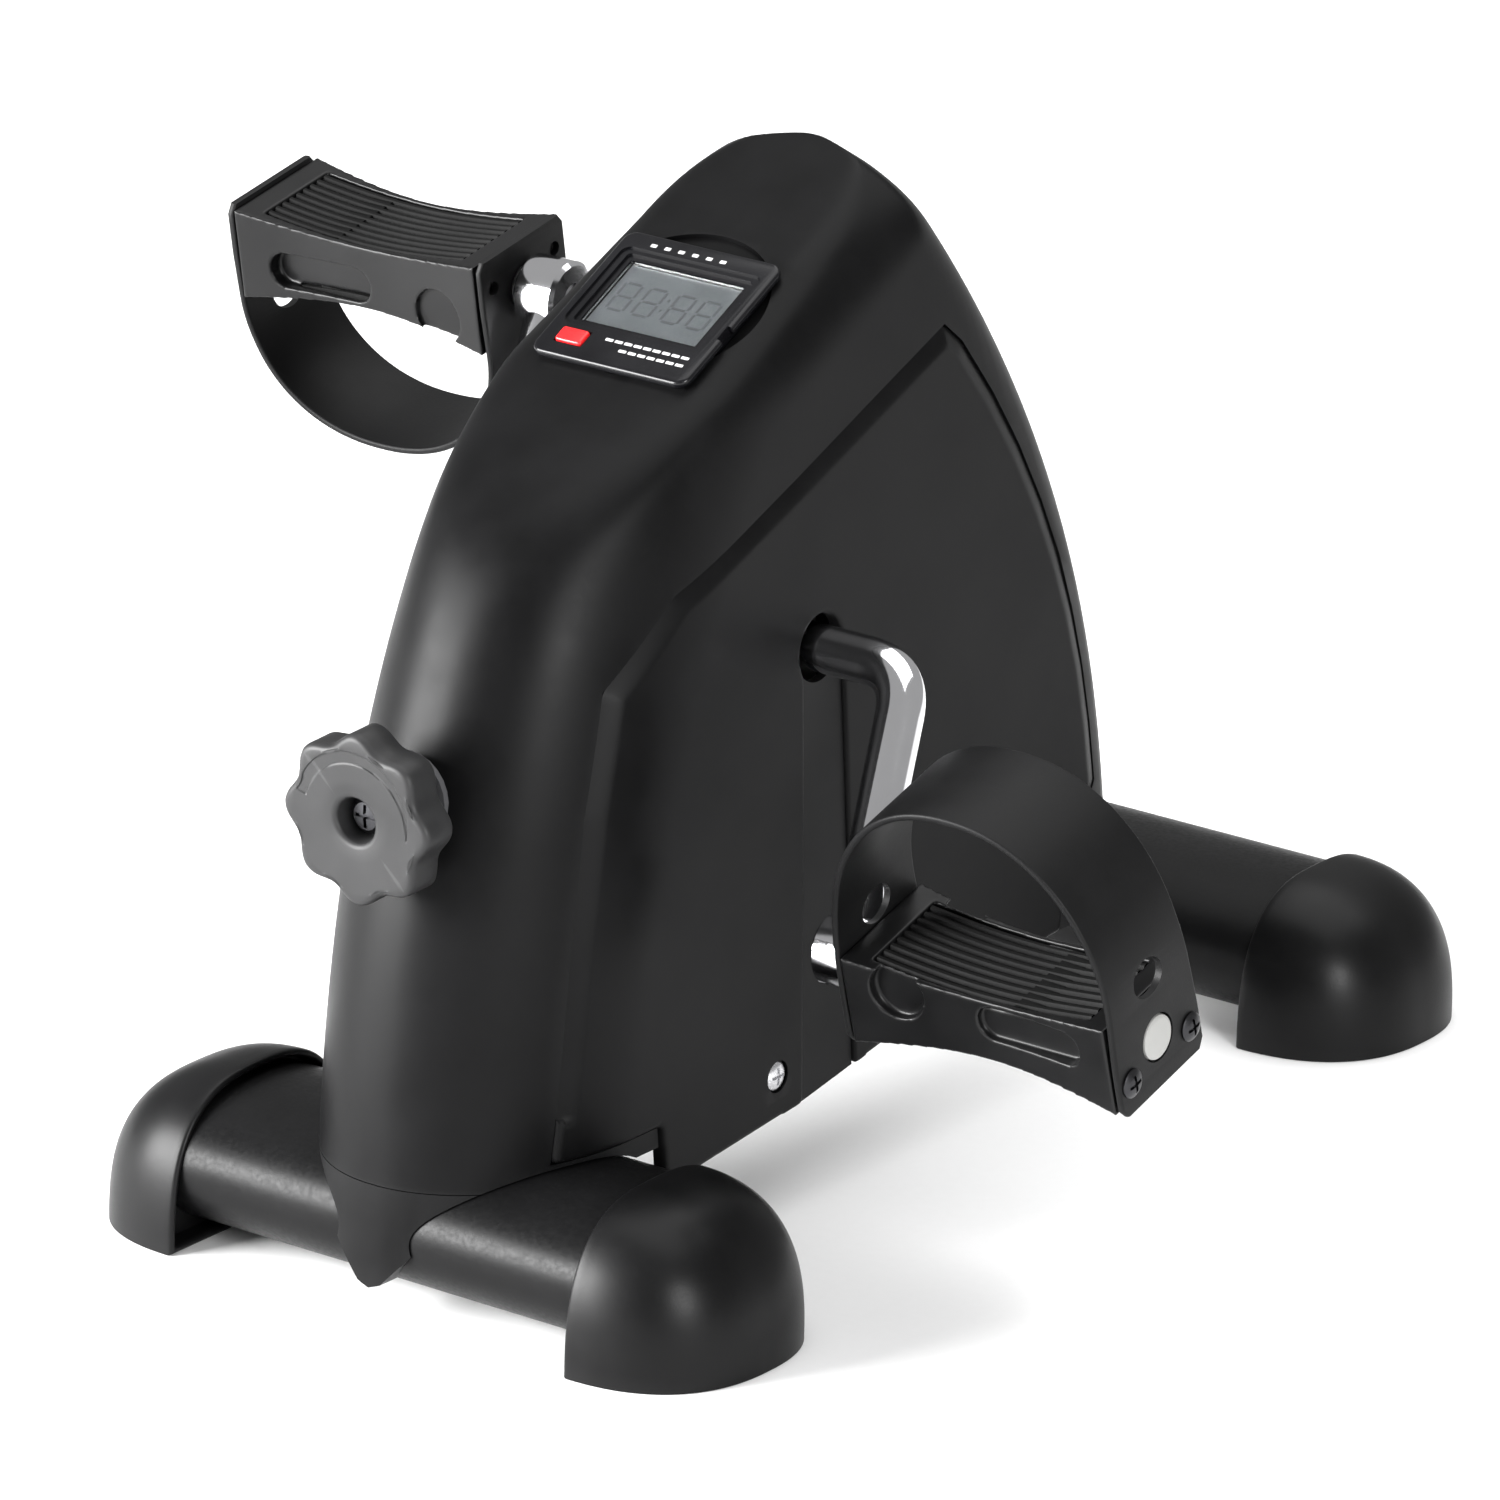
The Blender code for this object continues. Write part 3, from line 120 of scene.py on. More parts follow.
def coated(name, color, rough):
    """Powder-coated steel: orange peel over a fine speckle."""
    mat, nodes, links, bsdf = tree(name)
    peel = noise(nodes, links, 700.0, 2.0, 0.5)
    patch = noise(nodes, links, 30.0, 4.0)
    base = mix_color(nodes, links, remap(nodes, links, patch, 0.3, 0.7, 0, 1),
                     tuple(c * 0.8 for c in color), tuple(c * 1.25 for c in color))
    links.new(base, bsdf.inputs["Base Color"])
    links.new(remap(nodes, links, peel, 0.3, 0.7, rough - 0.05, rough + 0.07), bsdf.inputs["Roughness"])
    bsdf.inputs["Specular IOR Level"].default_value = 0.13
    bump(nodes, links, bsdf, peel, 0.00004, 0.5)
    return mat


def metal(name, color, rough, stretch=(1, 1, 1), scratch=0.00001, stain=0.12):
    """Bare or plated metal: directional scratches and faint staining."""
    mat, nodes, links, bsdf = tree(name)
    lines = noise(nodes, links, 900.0, 4.0, 0.7, stretch)
    patch = noise(nodes, links, 60.0, 5.0)
    base = mix_color(nodes, links, remap(nodes, links, patch, 0.35, 0.75, 0, 1), color,
                     tuple(c * (1 - stain) for c in color))
    links.new(base, bsdf.inputs["Base Color"])
    bsdf.inputs["Metallic"].default_value = 1.0
    links.new(remap(nodes, links, lines, 0.3, 0.7, rough * 0.75, rough * 1.35), bsdf.inputs["Roughness"])
    bump(nodes, links, bsdf, lines, scratch, 0.4)
    return mat


MAT = {
    "cover": moulded("cover_plastic", (0.0032, 0.0032, 0.0034), 0.40, 2400.0, 0.00002, 0.25, 0.10, 0.3),
    "bar": coated("bar_coating", (0.0040, 0.0040, 0.0042), 0.38),
    "rail": coated("rail_coating", (0.018, 0.018, 0.019), 0.5),
    "cap": moulded("cap_rubber", (0.0032, 0.0032, 0.0034), 0.36, 1800.0, 0.00003, 0.25, 0.16, 0.3),
    "knob": moulded("knob_plastic", (0.014, 0.014, 0.0145), 0.46, 2200.0, 0.00004, 0.25, 0.30),
    "pedal": moulded("pedal_plastic", (0.0036, 0.0036, 0.0038), 0.32, 2600.0, 0.00001, 0.25, 0.20),
    "tread": moulded("tread_rubber", (0.0040, 0.0040, 0.0040), 0.58, 1500.0, 0.00004, 0.25, 0.08, 0.2),
    "strap": moulded("strap_rubber", (0.0048, 0.0048, 0.0050), 0.46, 1400.0, 0.00004, 0.25, 0.13, 0.3),
    "housing": moulded("housing_plastic", (0.0034, 0.0034, 0.0042), 0.20, 3000.0, 0.00001, 0.25, 0.26, 0.3),
    "inner": moulded("inner_plastic", (0.03, 0.03, 0.032), 0.5),
    "shoe": moulded("shoe_plastic", (0.33, 0.32, 0.30), 0.55),
    "button": moulded("button_plastic", (0.72, 0.010, 0.012), 0.28, 2600.0, 0.00001, 0.08, 0.5, 0.1),
    "white": moulded("white_plastic", (0.30, 0.30, 0.29), 0.38, 2600.0, 0.00001, 0.04, 0.5, 0.0),
    "board": moulded("board_lacquer", (0.015, 0.13, 0.05), 0.35),
    "chrome": metal("crank_chrome", (0.86, 0.86, 0.88), 0.09, (1, 1, 1), 0.000004, 0.06),
    "zinc": metal("zinc_plate", (0.72, 0.72, 0.74), 0.26, (1, 1, 6)),
    "steel": metal("bare_steel", (0.46, 0.46, 0.47), 0.34, (8, 1, 1)),
    "bronze": metal("bush_bronze", (0.56, 0.40, 0.20), 0.42),
    "iron": metal("drum_iron", (0.30, 0.30, 0.31), 0.40, (1, 8, 8)),
    "oxide": metal("black_oxide", (0.045, 0.045, 0.048), 0.34, (1, 1, 4)),
    "faint": moulded("digit_ink", (0.075, 0.080, 0.085), 0.35, 2600.0, 0.00001, 0.05, 0.4, 0.0),
    "print": moulded("white_print", (0.60, 0.60, 0.60), 0.5, 2600.0, 0.00001, 0.05, 0.3, 0.0),
    "wire": moulded("wire_sleeve", (0.02, 0.02, 0.02), 0.5),
}


def felt_material():
    mat, nodes, links, bsdf = tree("pad_felt")
    fibre = noise(nodes, links, 1400.0, 6.0, 0.75, (1, 1, 3))
    base = mix_color(nodes, links, fibre, (0.10, 0.09, 0.075), (0.30, 0.28, 0.24))
    links.new(base, bsdf.inputs["Base Color"])
    bsdf.inputs["Roughness"].default_value = 0.95
    bsdf.inputs["Sheen Weight"].default_value = 0.4
    bump(nodes, links, bsdf, fibre, 0.0003, 0.9)
    return mat


def window_material():
    mat, nodes, links, bsdf = tree("window_clear")
    smear = noise(nodes, links, 160.0, 4.0, 0.6, (1, 2, 1))
    bsdf.inputs["Base Color"].default_value = (0.93, 0.95, 0.95, 1.0)
    bsdf.inputs["Transmission Weight"].default_value = 1.0
    bsdf.inputs["IOR"].default_value = 1.25
    links.new(remap(nodes, links, smear, 0.35, 0.75, 0.02, 0.10), bsdf.inputs["Roughness"])
    return mat


def panel_material():
    mat, nodes, links, bsdf = tree("panel_crystal")
    patch = noise(nodes, links, 90.0, 3.0)
    base = mix_color(nodes, links, remap(nodes, links, patch, 0.3, 0.7, 0, 1), (0.105, 0.112, 0.118),
                     (0.135, 0.143, 0.150))
    links.new(base, bsdf.inputs["Base Color"])
    fine = noise(nodes, links, 4000.0, 1.0)
    links.new(remap(nodes, links, fine, 0.3, 0.7, 0.26, 0.34), bsdf.inputs["Roughness"])
    return mat


MAT["felt"] = felt_material()
MAT["window"] = window_material()
MAT["panel"] = panel_material()

NODE_LOOKS = {
    "cover": ["centre_cover", "side_cover_right", "side_cover_left", "slot_strip_right", "slot_strip_left",
              "front_saddle"],
    "bar": ["front_tube", "rear_tube"],
    "rail": ["frame_rail"],
    "cap": ["front_cap_right", "front_cap_left", "rear_cap_right", "rear_cap_left"],
    "zinc": ["front_bolt_right", "front_bolt_left", "rear_bolt_right", "rear_bolt_left", "cover_screw_right",
             "cover_screw_left", "crank_magnet", "display_battery"],
    "steel": ["bearing_bracket", "tension_screw", "pedal_spindle_right", "pedal_spindle_left"],
    "bronze": ["axle_bush_right", "axle_bush_left"],
    "chrome": ["crank"],
    "iron": ["brake_drum"],
    "shoe": ["brake_shoe"],
    "felt": ["brake_pad"],
    "inner": ["shoe_guide", "knob_bush", "display_back", "turn_sensor"],
    "knob": ["tension_knob"],
    "oxide": ["knob_screw", "strap_screw_right_front", "strap_screw_right_rear", "strap_screw_left_front",
              "strap_screw_left_rear"],
    "housing": ["display_housing"],
    "window": ["display_window"],
    "panel": ["display_panel"],
    "button": ["mode_button"],
    "board": ["display_board"],
    "wire": ["sensor_wire"],
    "pedal": ["pedal_body_right", "pedal_body_left"],
    "tread": ["pedal_tread_right_strap_side", "pedal_tread_right_far_side", "pedal_tread_left_strap_side",
              "pedal_tread_left_far_side"],
    "strap": ["pedal_strap_right", "pedal_strap_left"],
    "white": ["pedal_cap_right", "pedal_cap_left"],
}
for look, names in NODE_LOOKS.items():
    for node_name in names:
        node = NODES[node_name]
        node.data.materials.clear()
        node.data.materials.append(MAT[look])


# ------------------------------------------------------------------ shared sizes, in metres

SHIFT_Y = 0.004                 # the whole machine's offset along Y
CRANK_SHIFT = 0.003             # and the crank's and pedals' along X
GAP = 0.0003
AXIS_Y, AXIS_Z = -0.061, 0.1745
BAR_Y, BAR_Z, BAR_A, BAR_B, BAR_POWER, BAR_HALF = 0.171, 0.0235, 0.037, 0.0215, 2.2, 0.0838
CAP_RIM_X, CAP_LONG, CAP_A, CAP_TOP = 0.0717, 0.0425, 0.0415, 0.0492
FRONT_Y, FRONT_LEAN, SLOPE_START_Z = -0.211, 0.044, 0.225
REAR_Y, REAR_SWEEP, CASE_TOP = 0.1145, 0.1195, 0.309
CROWN_H, ARCH_H = 0.006, 0.024
HALF_W, HALF_W_TAPER, WALL, PANEL_RISE = 0.0465, 0.0065, 0.0028, 0.0014
SLOPE_Y, SLOPE_Z, SLOPE_TILT = -0.1044, 0.2585, math.radians(27.16)
THROW, CRANK_ANGLE, ROD_R = 0.0835, math.radians(58.4), 0.0072
BEND_X, BEND_REACH, EYE_X, EYE_R = 0.0755, 0.014, 0.089, 0.011
PEDAL_IN, PEDAL_OUT, PEDAL_HALF_W, PEDAL_HALF_T, PEDAL_SAG = 0.102, 0.193, 0.0215, 0.0146, 0.0042
PEDAL_TILT = {1: math.radians(17.0), -1: math.radians(11.0)}
STRAP_T, STRAP_HALF_W, STRAP_GAP, SCREW_Y, SCREW_Z = 0.0022, 0.019, 0.0018, 0.015, -0.006
KNOB_FACE, KNOB_TILT, KNOB_R, KNOB_T = Vector((0.0, -0.2200, 0.15359)), math.radians(3.0), 0.0246, 0.0125
UNIT_W, UNIT_H, WINDOW_V = 0.056, 0.0544, 0.0033
KEY_U, KEY_V = -0.0172, -0.0190
FACE_Z = 0.0034                 # front of the display's frame above the slope
COVER_SCREW, COVER_SCREW_X, SCREW_R = (-0.078, 0.046), 0.04695, 0.0044
CUT_REACH = 0.08                # half length of the tools that cut right through the casing
SIDES = (("right", 1), ("left", -1))


# ------------------------------------------------------------------ mesh helpers

def solid(name, verts, faces, matrix=None):
    mesh = bpy.data.meshes.new(name)
    mesh.from_pydata([tuple(v) for v in verts], [], faces)
    bm = bmesh.new()
    bm.from_mesh(mesh)
    bmesh.ops.remove_doubles(bm, verts=bm.verts, dist=0.000001)
    bmesh.ops.recalc_face_normals(bm, faces=bm.faces)
    bm.to_mesh(mesh)
    bm.free()
    obj = bpy.data.objects.new(name, mesh)
    bpy.context.scene.collection.objects.link(obj)
    obj.matrix_world = Matrix.Translation((0.0, SHIFT_Y, 0.0)) @ (matrix or Matrix.Identity(4))
    return obj


def prism(name, outline, low, high, axis='X', matrix=None):
    """Outline drawn in the plane across the axis, drawn out from low to high along it."""
    order = {'X': (2, 0, 1), 'Y': (0, 2, 1), 'Z': (0, 1, 2)}[axis]
    n = len(outline)
    verts = [tuple((u, v, w)[k] for k in order) for w in (low, high) for u, v in outline]
    faces = [(i, (i + 1) % n, n + (i + 1) % n, n + i) for i in range(n)]
    return solid(name, verts, faces + [tuple(range(n))[::-1], tuple(range(n, 2 * n))], matrix)


def block(name, size, centre, matrix=None):
    outline = [(centre[0] + a * size[0] / 2, centre[1] + b * size[1] / 2)
               for a, b in ((-1, -1), (1, -1), (1, 1), (-1, 1))]
    return prism(name, outline, centre[2] - size[2] / 2, centre[2] + size[2] / 2, 'Z', matrix)


def loft(name, rings, matrix=None, caps=True):
    n = len(rings[0])
    verts = [p for ring in rings for p in ring]
    faces = [(k * n + i, k * n + (i + 1) % n, (k + 1) * n + (i + 1) % n, (k + 1) * n + i)
             for k in range(len(rings) - 1) for i in range(n)]
    if caps:
        faces += [tuple(range(n))[::-1], tuple(range((len(rings) - 1) * n, len(rings) * n))]
    return solid(name, verts, faces, matrix)


def lathe(name, profile, matrix, steps=64):
    """Turned piece from (radius, height) points that start and end on the axis."""
    rings = [[(r * math.cos(2 * math.pi * i / steps), r * math.sin(2 * math.pi * i / steps), z)
              for i in range(steps)] for r, z in profile]
    return loft(name, rings, matrix, False)


def circle(radius, count=48, centre=(0.0, 0.0), power=2.0, stretch=1.0):
    points = []
    for i in range(count):
        t = 2 * math.pi * i / count
        c, s = math.cos(t), math.sin(t)
        points.append((centre[0] + math.copysign(abs(c) ** (2 / power), c) * radius * stretch,
                       centre[1] + math.copysign(abs(s) ** (2 / power), s) * radius))
    return points


def rounded_box(half_u, half_v, radius, steps=8, centre=(0.0, 0.0)):
    points = []
    for a, b, turn in ((1, 1, 0), (-1, 1, 90), (-1, -1, 180), (1, -1, 270)):
        for k in range(steps + 1):
            t = math.radians(turn + 90 * k / steps)
            points.append((centre[0] + a * (half_u - radius) + radius * math.cos(t),
                           centre[1] + b * (half_v - radius) + radius * math.sin(t)))
    return points


def settle(obj):
    """Turns the object's modifiers into its mesh."""
    bpy.context.view_layer.update()
    shape = obj.evaluated_get(bpy.context.evaluated_depsgraph_get())
    mesh = bpy.data.meshes.new_from_object(shape)
    obj.modifiers.clear()
    obj.data = mesh
    return obj


def cut(obj, tool, operation='DIFFERENCE'):
    mod = obj.modifiers.new("cut", 'BOOLEAN')
    mod.operation, mod.solver, mod.object = operation, 'EXACT', tool
    settle(obj)
    bpy.data.objects.remove(tool, do_unlink=True)
    return obj


def soften(obj, voxel, rounds, keep):
    """Rounds every edge: even remesh, a few rounds of smoothing, fewer faces on the flats."""
    mod = obj.modifiers.new("even", 'REMESH')
    mod.mode, mod.voxel_size = 'VOXEL', voxel
    mod = obj.modifiers.new("round", 'SMOOTH')
    mod.factor, mod.iterations = 0.5, rounds
    mod = obj.modifiers.new("thin", 'DECIMATE')
    mod.ratio = keep
    return settle(obj)


def rounded(obj, width):
    mod = obj.modifiers.new("edge", 'BEVEL')
    mod.width, mod.segments, mod.limit_method = width, 4, 'ANGLE'
    mod.angle_limit = math.radians(40.0)
    return settle(obj)


def piece(obj, look, body, *nodes, angle=32.0):
    if body.startswith(("crank", "pedal")):
        obj.matrix_world = Matrix.Translation((CRANK_SHIFT, 0.0, 0.0)) @ obj.matrix_world
    obj.data.materials.clear()
    obj.data.materials.append(MAT[look])
    obj.data.polygons.foreach_set("use_smooth", [True] * len(obj.data.polygons))
    obj.data.set_sharp_from_angle(angle=math.radians(angle))
    if nodes:
        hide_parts(*nodes)
    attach(obj, body)
    return obj


def along_x(location, outward=1):
    return Matrix.Translation(location) @ Matrix.Rotation(outward * math.pi / 2, 4, 'Y')


def span(sign, low, high):
    return sorted((sign * low, sign * high))


# ------------------------------------------------------------------ casing

def front_line(z):
    return FRONT_Y + FRONT_LEAN * max(z, 0.0) ** 2.4 / SLOPE_START_Z ** 2.4


def rear_line(z):
    return REAR_Y - REAR_SWEEP * (max(z, 0.0) / CASE_TOP) ** 2.45


def slope_line(z):
    return SLOPE_Y + (z - SLOPE_Z) / math.tan(SLOPE_TILT)


def half_width(z):
    return HALF_W - HALF_W_TAPER * min(max((z - 0.12) / 0.18, 0.0), 1.0) ** 2


def skin_x(y, z, grow):
    """Half width of the casing's skin at (y, z)."""
    width = half_width(z) + grow
    lift = min(max((z - 0.235) / 0.05, 0.0), 1.0)
    behind = min(max((y - slope_line(z)) / 0.05, 0.0), 1.0)
    x = width - 0.0090 * lift * (1.0 - behind) ** 2
    front_depth = 0.062 + 0.012 * (z / 0.24) ** 3 + grow
    for back, depth, power in ((y - front_line(z) + grow, front_depth, 2.05),
                               (rear_line(z) + grow - y, 0.026 + grow, 2.2)):
        if back < depth:
            share = min(1.0 - back / depth, 1.0)
            x = min(x, width * (1.0 - share ** power) ** (1.0 / power))
    return x


def section(z, grow, count):
    """Level section: rounded front and rear, softly cut by the slope, narrowing to an arch at the top."""
    slope = slope_line(z) - grow / math.sin(SLOPE_TILT)
    front, rear = max(front_line(z) - grow, slope), rear_line(z) + grow
    middle, half, width = 0.5 * (front + rear), 0.5 * (rear - front), half_width(z) + grow
    crown = min(max((z - CASE_TOP - grow + CROWN_H) / CROWN_H, 0.0), 0.93)
    shrink = math.sqrt(1.0 - crown ** 2)
    arch = (1.0 - min(max((z - CASE_TOP - grow + ARCH_H) / ARCH_H, 0.0), 0.995) ** 2.5) ** 0.4
    points = []
    for i in range(count):
        t = 2 * math.pi * (i + 0.5) / count
        c, s = math.cos(t), math.sin(t)
        dx = math.copysign(abs(c) ** 0.75, c) * width
        dy = math.copysign(abs(s) ** 0.75, s) * half
        low, high = 0.0, 1.6
        for _ in range(22):
            mid = 0.5 * (low + high)
            y = middle + dy * mid
            inside = front_line(z) - grow < y < rear + 1e-9 and abs(dx * mid) <= skin_x(y, z, grow)
            low, high = (mid, high) if inside else (low, mid)
        reach = low
        if dy < 0.0:
            reach = (max(low, 1e-6) ** -10 + ((slope - middle) / dy) ** -10) ** -0.1
        points.append((dx * reach * arch, middle + dy * reach * shrink, z))
    return points


def casing(name, grow, bottom, count, levels):
    top = CASE_TOP + grow - 0.0002
    rings = [section(bottom + (top - bottom) * (1.0 - (1.0 - k / levels) ** 1.7), grow, count)
             for k in range(levels + 1)]
    return loft(name, rings)


def under_tool():
    """Everything below the casing's lower edge."""
    points = [(-0.26, 0.0405), (-0.1336, 0.0405), (-0.1320, 0.0270), (-0.0630, 0.0340), (-0.0200, 0.0416),
              (0.0640, 0.0500), (0.1500, 0.0500), (0.1500, -0.03), (-0.26, -0.03)]
    return prism("under", points[::-1], -CUT_REACH, CUT_REACH)


def oval(y, grow, count):
    """Section of a foot bar as (y, z) points."""
    shape = circle(BAR_B + grow, count, (0.0, 0.0), BAR_POWER, (BAR_A + grow) / (BAR_B + grow))
    return [(y + u, BAR_Z + v) for u, v in shape]


def front_bar_tool():
    return prism("bar room", oval(-BAR_Y, 2 * GAP, 72), -0.06, 0.06)


def panel_outline(grow):
    """Side panel as (y, z) points, moved outwards by grow."""
    def rear(z):
        return 0.0905 - 0.119 * (z / CASE_TOP) ** 2.67 - 0.0112 * (z / 0.25) ** 3

    points = [(-0.1320, 0.0200), (-0.1350, 0.0470), (-0.1785, 0.0470), (-0.1708, 0.1108), (-0.1641, 0.1483),
              (-0.1545, 0.1833), (-0.1275, 0.2064), (-0.0708, 0.2281), (-0.0295, 0.2444), (0.003, 0.2570)]
    points += [(rear(0.25 - k * 0.0195), 0.25 - k * 0.0195) for k in range(9)]
    points = (points + [(0.0700, 0.0690), (0.0640, 0.0200)])[::-1]
    moved = []
    for i, here in enumerate(points):
        before, here, after = Vector(points[i - 1]), Vector(here), Vector(points[(i + 1) % len(points)])
        n1, n2 = (here - before).normalized(), (after - here).normalized()
        n1, n2 = Vector((n1.y, -n1.x)), Vector((n2.y, -n2.x))
        bisector = (n1 + n2).normalized()
        moved.append(tuple(here + bisector * grow / max(bisector.dot(n1), 0.3)))
    return moved


def slot_tool():
    """Room for the strip that runs down from the crank's bore."""
    grow, low = GAP / 2, 0.0150
    outline = [(-0.0695 - grow, AXIS_Z), (-0.0640 - grow, low), (-0.0370 + grow, low),
               (-0.0505 + grow, AXIS_Z)]
    return prism("slot", outline, -CUT_REACH, CUT_REACH)


def display_matrix():
    up = Vector((0.0, math.cos(SLOPE_TILT), math.sin(SLOPE_TILT)))
    out = Vector((0.0, -math.sin(SLOPE_TILT), math.cos(SLOPE_TILT)))
    turn = Matrix((Vector((1, 0, 0)), up, out)).transposed().to_4x4()
    return Matrix.Translation(Vector((0.0, SLOPE_Y, SLOPE_Z)) + up * UNIT_H / 2) @ turn


def knob_matrix():
    return Matrix.Translation(KNOB_FACE) @ Matrix.Rotation(math.pi / 2 + KNOB_TILT, 4, 'X')


def centre_cover():
    obj = casing("cover_centre", 0.0, 0.02, 128, 88)
    cut(obj, casing("hollow", -WALL, 0.004, 48, 30))
    cut(obj, under_tool())
    cut(obj, front_bar_tool())
    for sign in (1, -1):
        low, high = span(sign, 0.026, 0.07)
        cut(obj, prism("window", panel_outline(GAP / 2 + 0.0001), low, high))
    pocket = rounded_box(UNIT_W / 2 - 0.0015, UNIT_H / 2 - 0.0015, 0.003)
    cut(obj, prism("pocket", pocket, -0.015, 0.015, 'Z', display_matrix()))
    place = display_matrix() @ Matrix.Translation((0.0, UNIT_H / 2 - 0.0225, 0.0))
    cut(obj, prism("finger recess", circle(0.031, 96), -0.0016, 0.02, 'Z', place))
    cut(obj, prism("knob hole", circle(0.0085, 48), -0.06, 0.0, 'Z', knob_matrix()))
    piece(obj, "cover", "frame", "centre_cover")


def loop_of(obj, x):
    """Outline of the faces that lie at x, as a closed list of (y, z)."""
    bm = bmesh.new()
    bm.from_mesh(obj.data)
    caps = {f for f in bm.faces if all(abs(v.co.x - x) < 1e-6 for v in f.verts)}
    ahead = {}
    for f in caps:
        for side in f.loops:
            if not [g for g in side.edge.link_faces if g in caps and g is not f]:
                ahead[side.vert.index] = side.link_loop_next.vert.index
    start = next(iter(ahead))
    order, here = [start], ahead[start]
    while here != start:
        order.append(here)
        here = ahead[here]
    bm.verts.ensure_lookup_table()
    points = [(bm.verts[i].co.y, bm.verts[i].co.z) for i in order]
    bm.free()
    return np.array(points)


def resample(points, step, rounds):
    """Evenly spaced closed outline with its corners eased."""
    closed = np.vstack([points, points[:1]])
    lengths = np.concatenate([[0.0], np.cumsum(np.hypot(*np.diff(closed, axis=0).T))])
    along = np.linspace(0.0, lengths[-1], int(lengths[-1] / step), endpoint=False)
    even = np.stack([np.interp(along, lengths, closed[:, k]) for k in (0, 1)], axis=1)
    for _ in range(rounds):
        even = 0.5 * even + 0.25 * (np.roll(even, 1, axis=0) + np.roll(even, -1, axis=0))
    return even


def edge_distance(points, outline):
    """Distance from each point to the outline, and the nearest spot on it."""
    a, b = outline, np.roll(outline, -1, axis=0)
    d = b - a
    share = np.einsum('pij,ij->pi', points[:, None, :] - a[None], d) / (d ** 2).sum(axis=1)
    spots = a[None] + np.clip(share, 0.0, 1.0)[..., None] * d[None]
    gap = np.hypot(*np.moveaxis(points[:, None, :] - spots, 2, 0))
    best = gap.argmin(axis=1)
    rows = np.arange(len(points))
    return gap[rows, best], spots[rows, best]


def side_mesh():
    """Side cover as (front points, back points, triangles) for the right side."""
    flat = prism("flat", panel_outline(-GAP / 2), 0.0, 0.01)
    cut(flat, under_tool())
    cut(flat, slot_tool())
    cut(flat, prism("bore", circle(0.0105, 96, (AXIS_Y, AXIS_Z)), -0.02, 0.03))
    outline = resample(loop_of(flat, 0.01), 0.0008, 5)
    bpy.data.objects.remove(flat, do_unlink=True)
    ahead, behind = np.roll(outline, -1, axis=0), np.roll(outline, 1, axis=0)
    along = ahead - behind
    inward = np.stack([-along[:, 1], along[:, 0]], axis=1) / np.hypot(*along.T)[:, None]
    if np.sum(outline[:, 0] * ahead[:, 1] - ahead[:, 0] * outline[:, 1]) < 0:
        inward = -inward
    inner = []
    # rings close to the edge carry its profile, a plain grid fills the middle
    for d in (0.0003, 0.0007, 0.0012, 0.0019, 0.0028, 0.0038, 0.0044, 0.0050, 0.0056, 0.0063):
        ring = (outline + inward * d)[::2 if d > 0.0015 else 1]
        inner.append(ring[edge_distance(ring, outline)[0] > 0.93 * d])
    ys, zs = np.meshgrid(np.arange(-0.18, 0.12, 0.003), np.arange(0.03, 0.26, 0.003))
    grid = np.stack([ys.ravel(), zs.ravel()], axis=1)
    inner.append(grid[edge_distance(grid, outline)[0] > 0.0078])
    cloud = np.vstack([outline] + inner)
    count = len(outline)
    border = [(i, (i + 1) % count) for i in range(count)]
    result = delaunay_2d_cdt([Vector(p) for p in cloud], border, [], 1, 1e-7)
    points = np.array([tuple(v) for v in result[0]])
    far, spot = edge_distance(points, outline)
    # a crisp edge round the bore and the slot, a small round below, a broad chamfer elsewhere
    tight = (spot[:, 0] > -0.0745) & (spot[:, 0] < -0.033) & (spot[:, 1] < 0.188)
    low = spot[:, 1] < 0.06
    radius = np.where(tight, 0.0010, np.where(low, 0.0018, 0.0056))
    drop = np.where(tight, 0.0009, np.where(low, 0.0016, 0.0021))
    share = 1.0 - np.clip(far / radius, 0.0, 1.0)
    fall = np.where(tight | low, drop * (1.0 - np.sqrt(1.0 - share ** 2 * 0.98)), drop * share ** 1.35)
    front = [(skin_x(y, z, PANEL_RISE) - f, y, z) for (y, z), f in zip(points, fall)]
    back = [(max(skin_x(y, z, -WALL), x - 0.0042), y, z) for x, y, z in front]
    return front, back, [tuple(f) for f in result[2]]


def side_covers():
    front, back, triangles = side_mesh()
    n = len(front)
    uses = {edge: True for f in triangles for edge in zip(f, f[1:] + f[:1])}
    rim = [(a, b) for a, b in uses if (b, a) not in uses]
    faces = triangles + [tuple(n + i for i in reversed(f)) for f in triangles]
    faces += [(b, a, n + a, n + b) for a, b in rim]
    for side, sign in SIDES:
        obj = solid("cover_side_" + side, [(sign * x, y, z) for x, y, z in front + back], faces)
        low, high = span(sign, 0.0465, 0.06)
        cut(obj, prism("seat", circle(0.0050, 40, COVER_SCREW), low, high))
        piece(obj, "cover", "frame", "side_cover_" + side, angle=40.0)


def saddle():
    obj = casing("saddle", 0.0, 0.004, 160, 40)
    lip = [(-0.0315, 0.0402), (-0.004, 0.0100), (0.0, 0.0085), (0.004, 0.0100), (0.0315, 0.0402)]
    cut(obj, prism("lip", lip, -0.25, -BAR_Y - 0.001, 'Y'), 'INTERSECT')
    cut(obj, front_bar_tool())
    piece(obj, "cover", "frame", "front_saddle")


# ------------------------------------------------------------------ foot bars

def foot_bar(name, y):
    piece(prism(name + "_bar", oval(y, 0.0, 128), -BAR_HALF, BAR_HALF), "bar", "frame", name + "_tube")


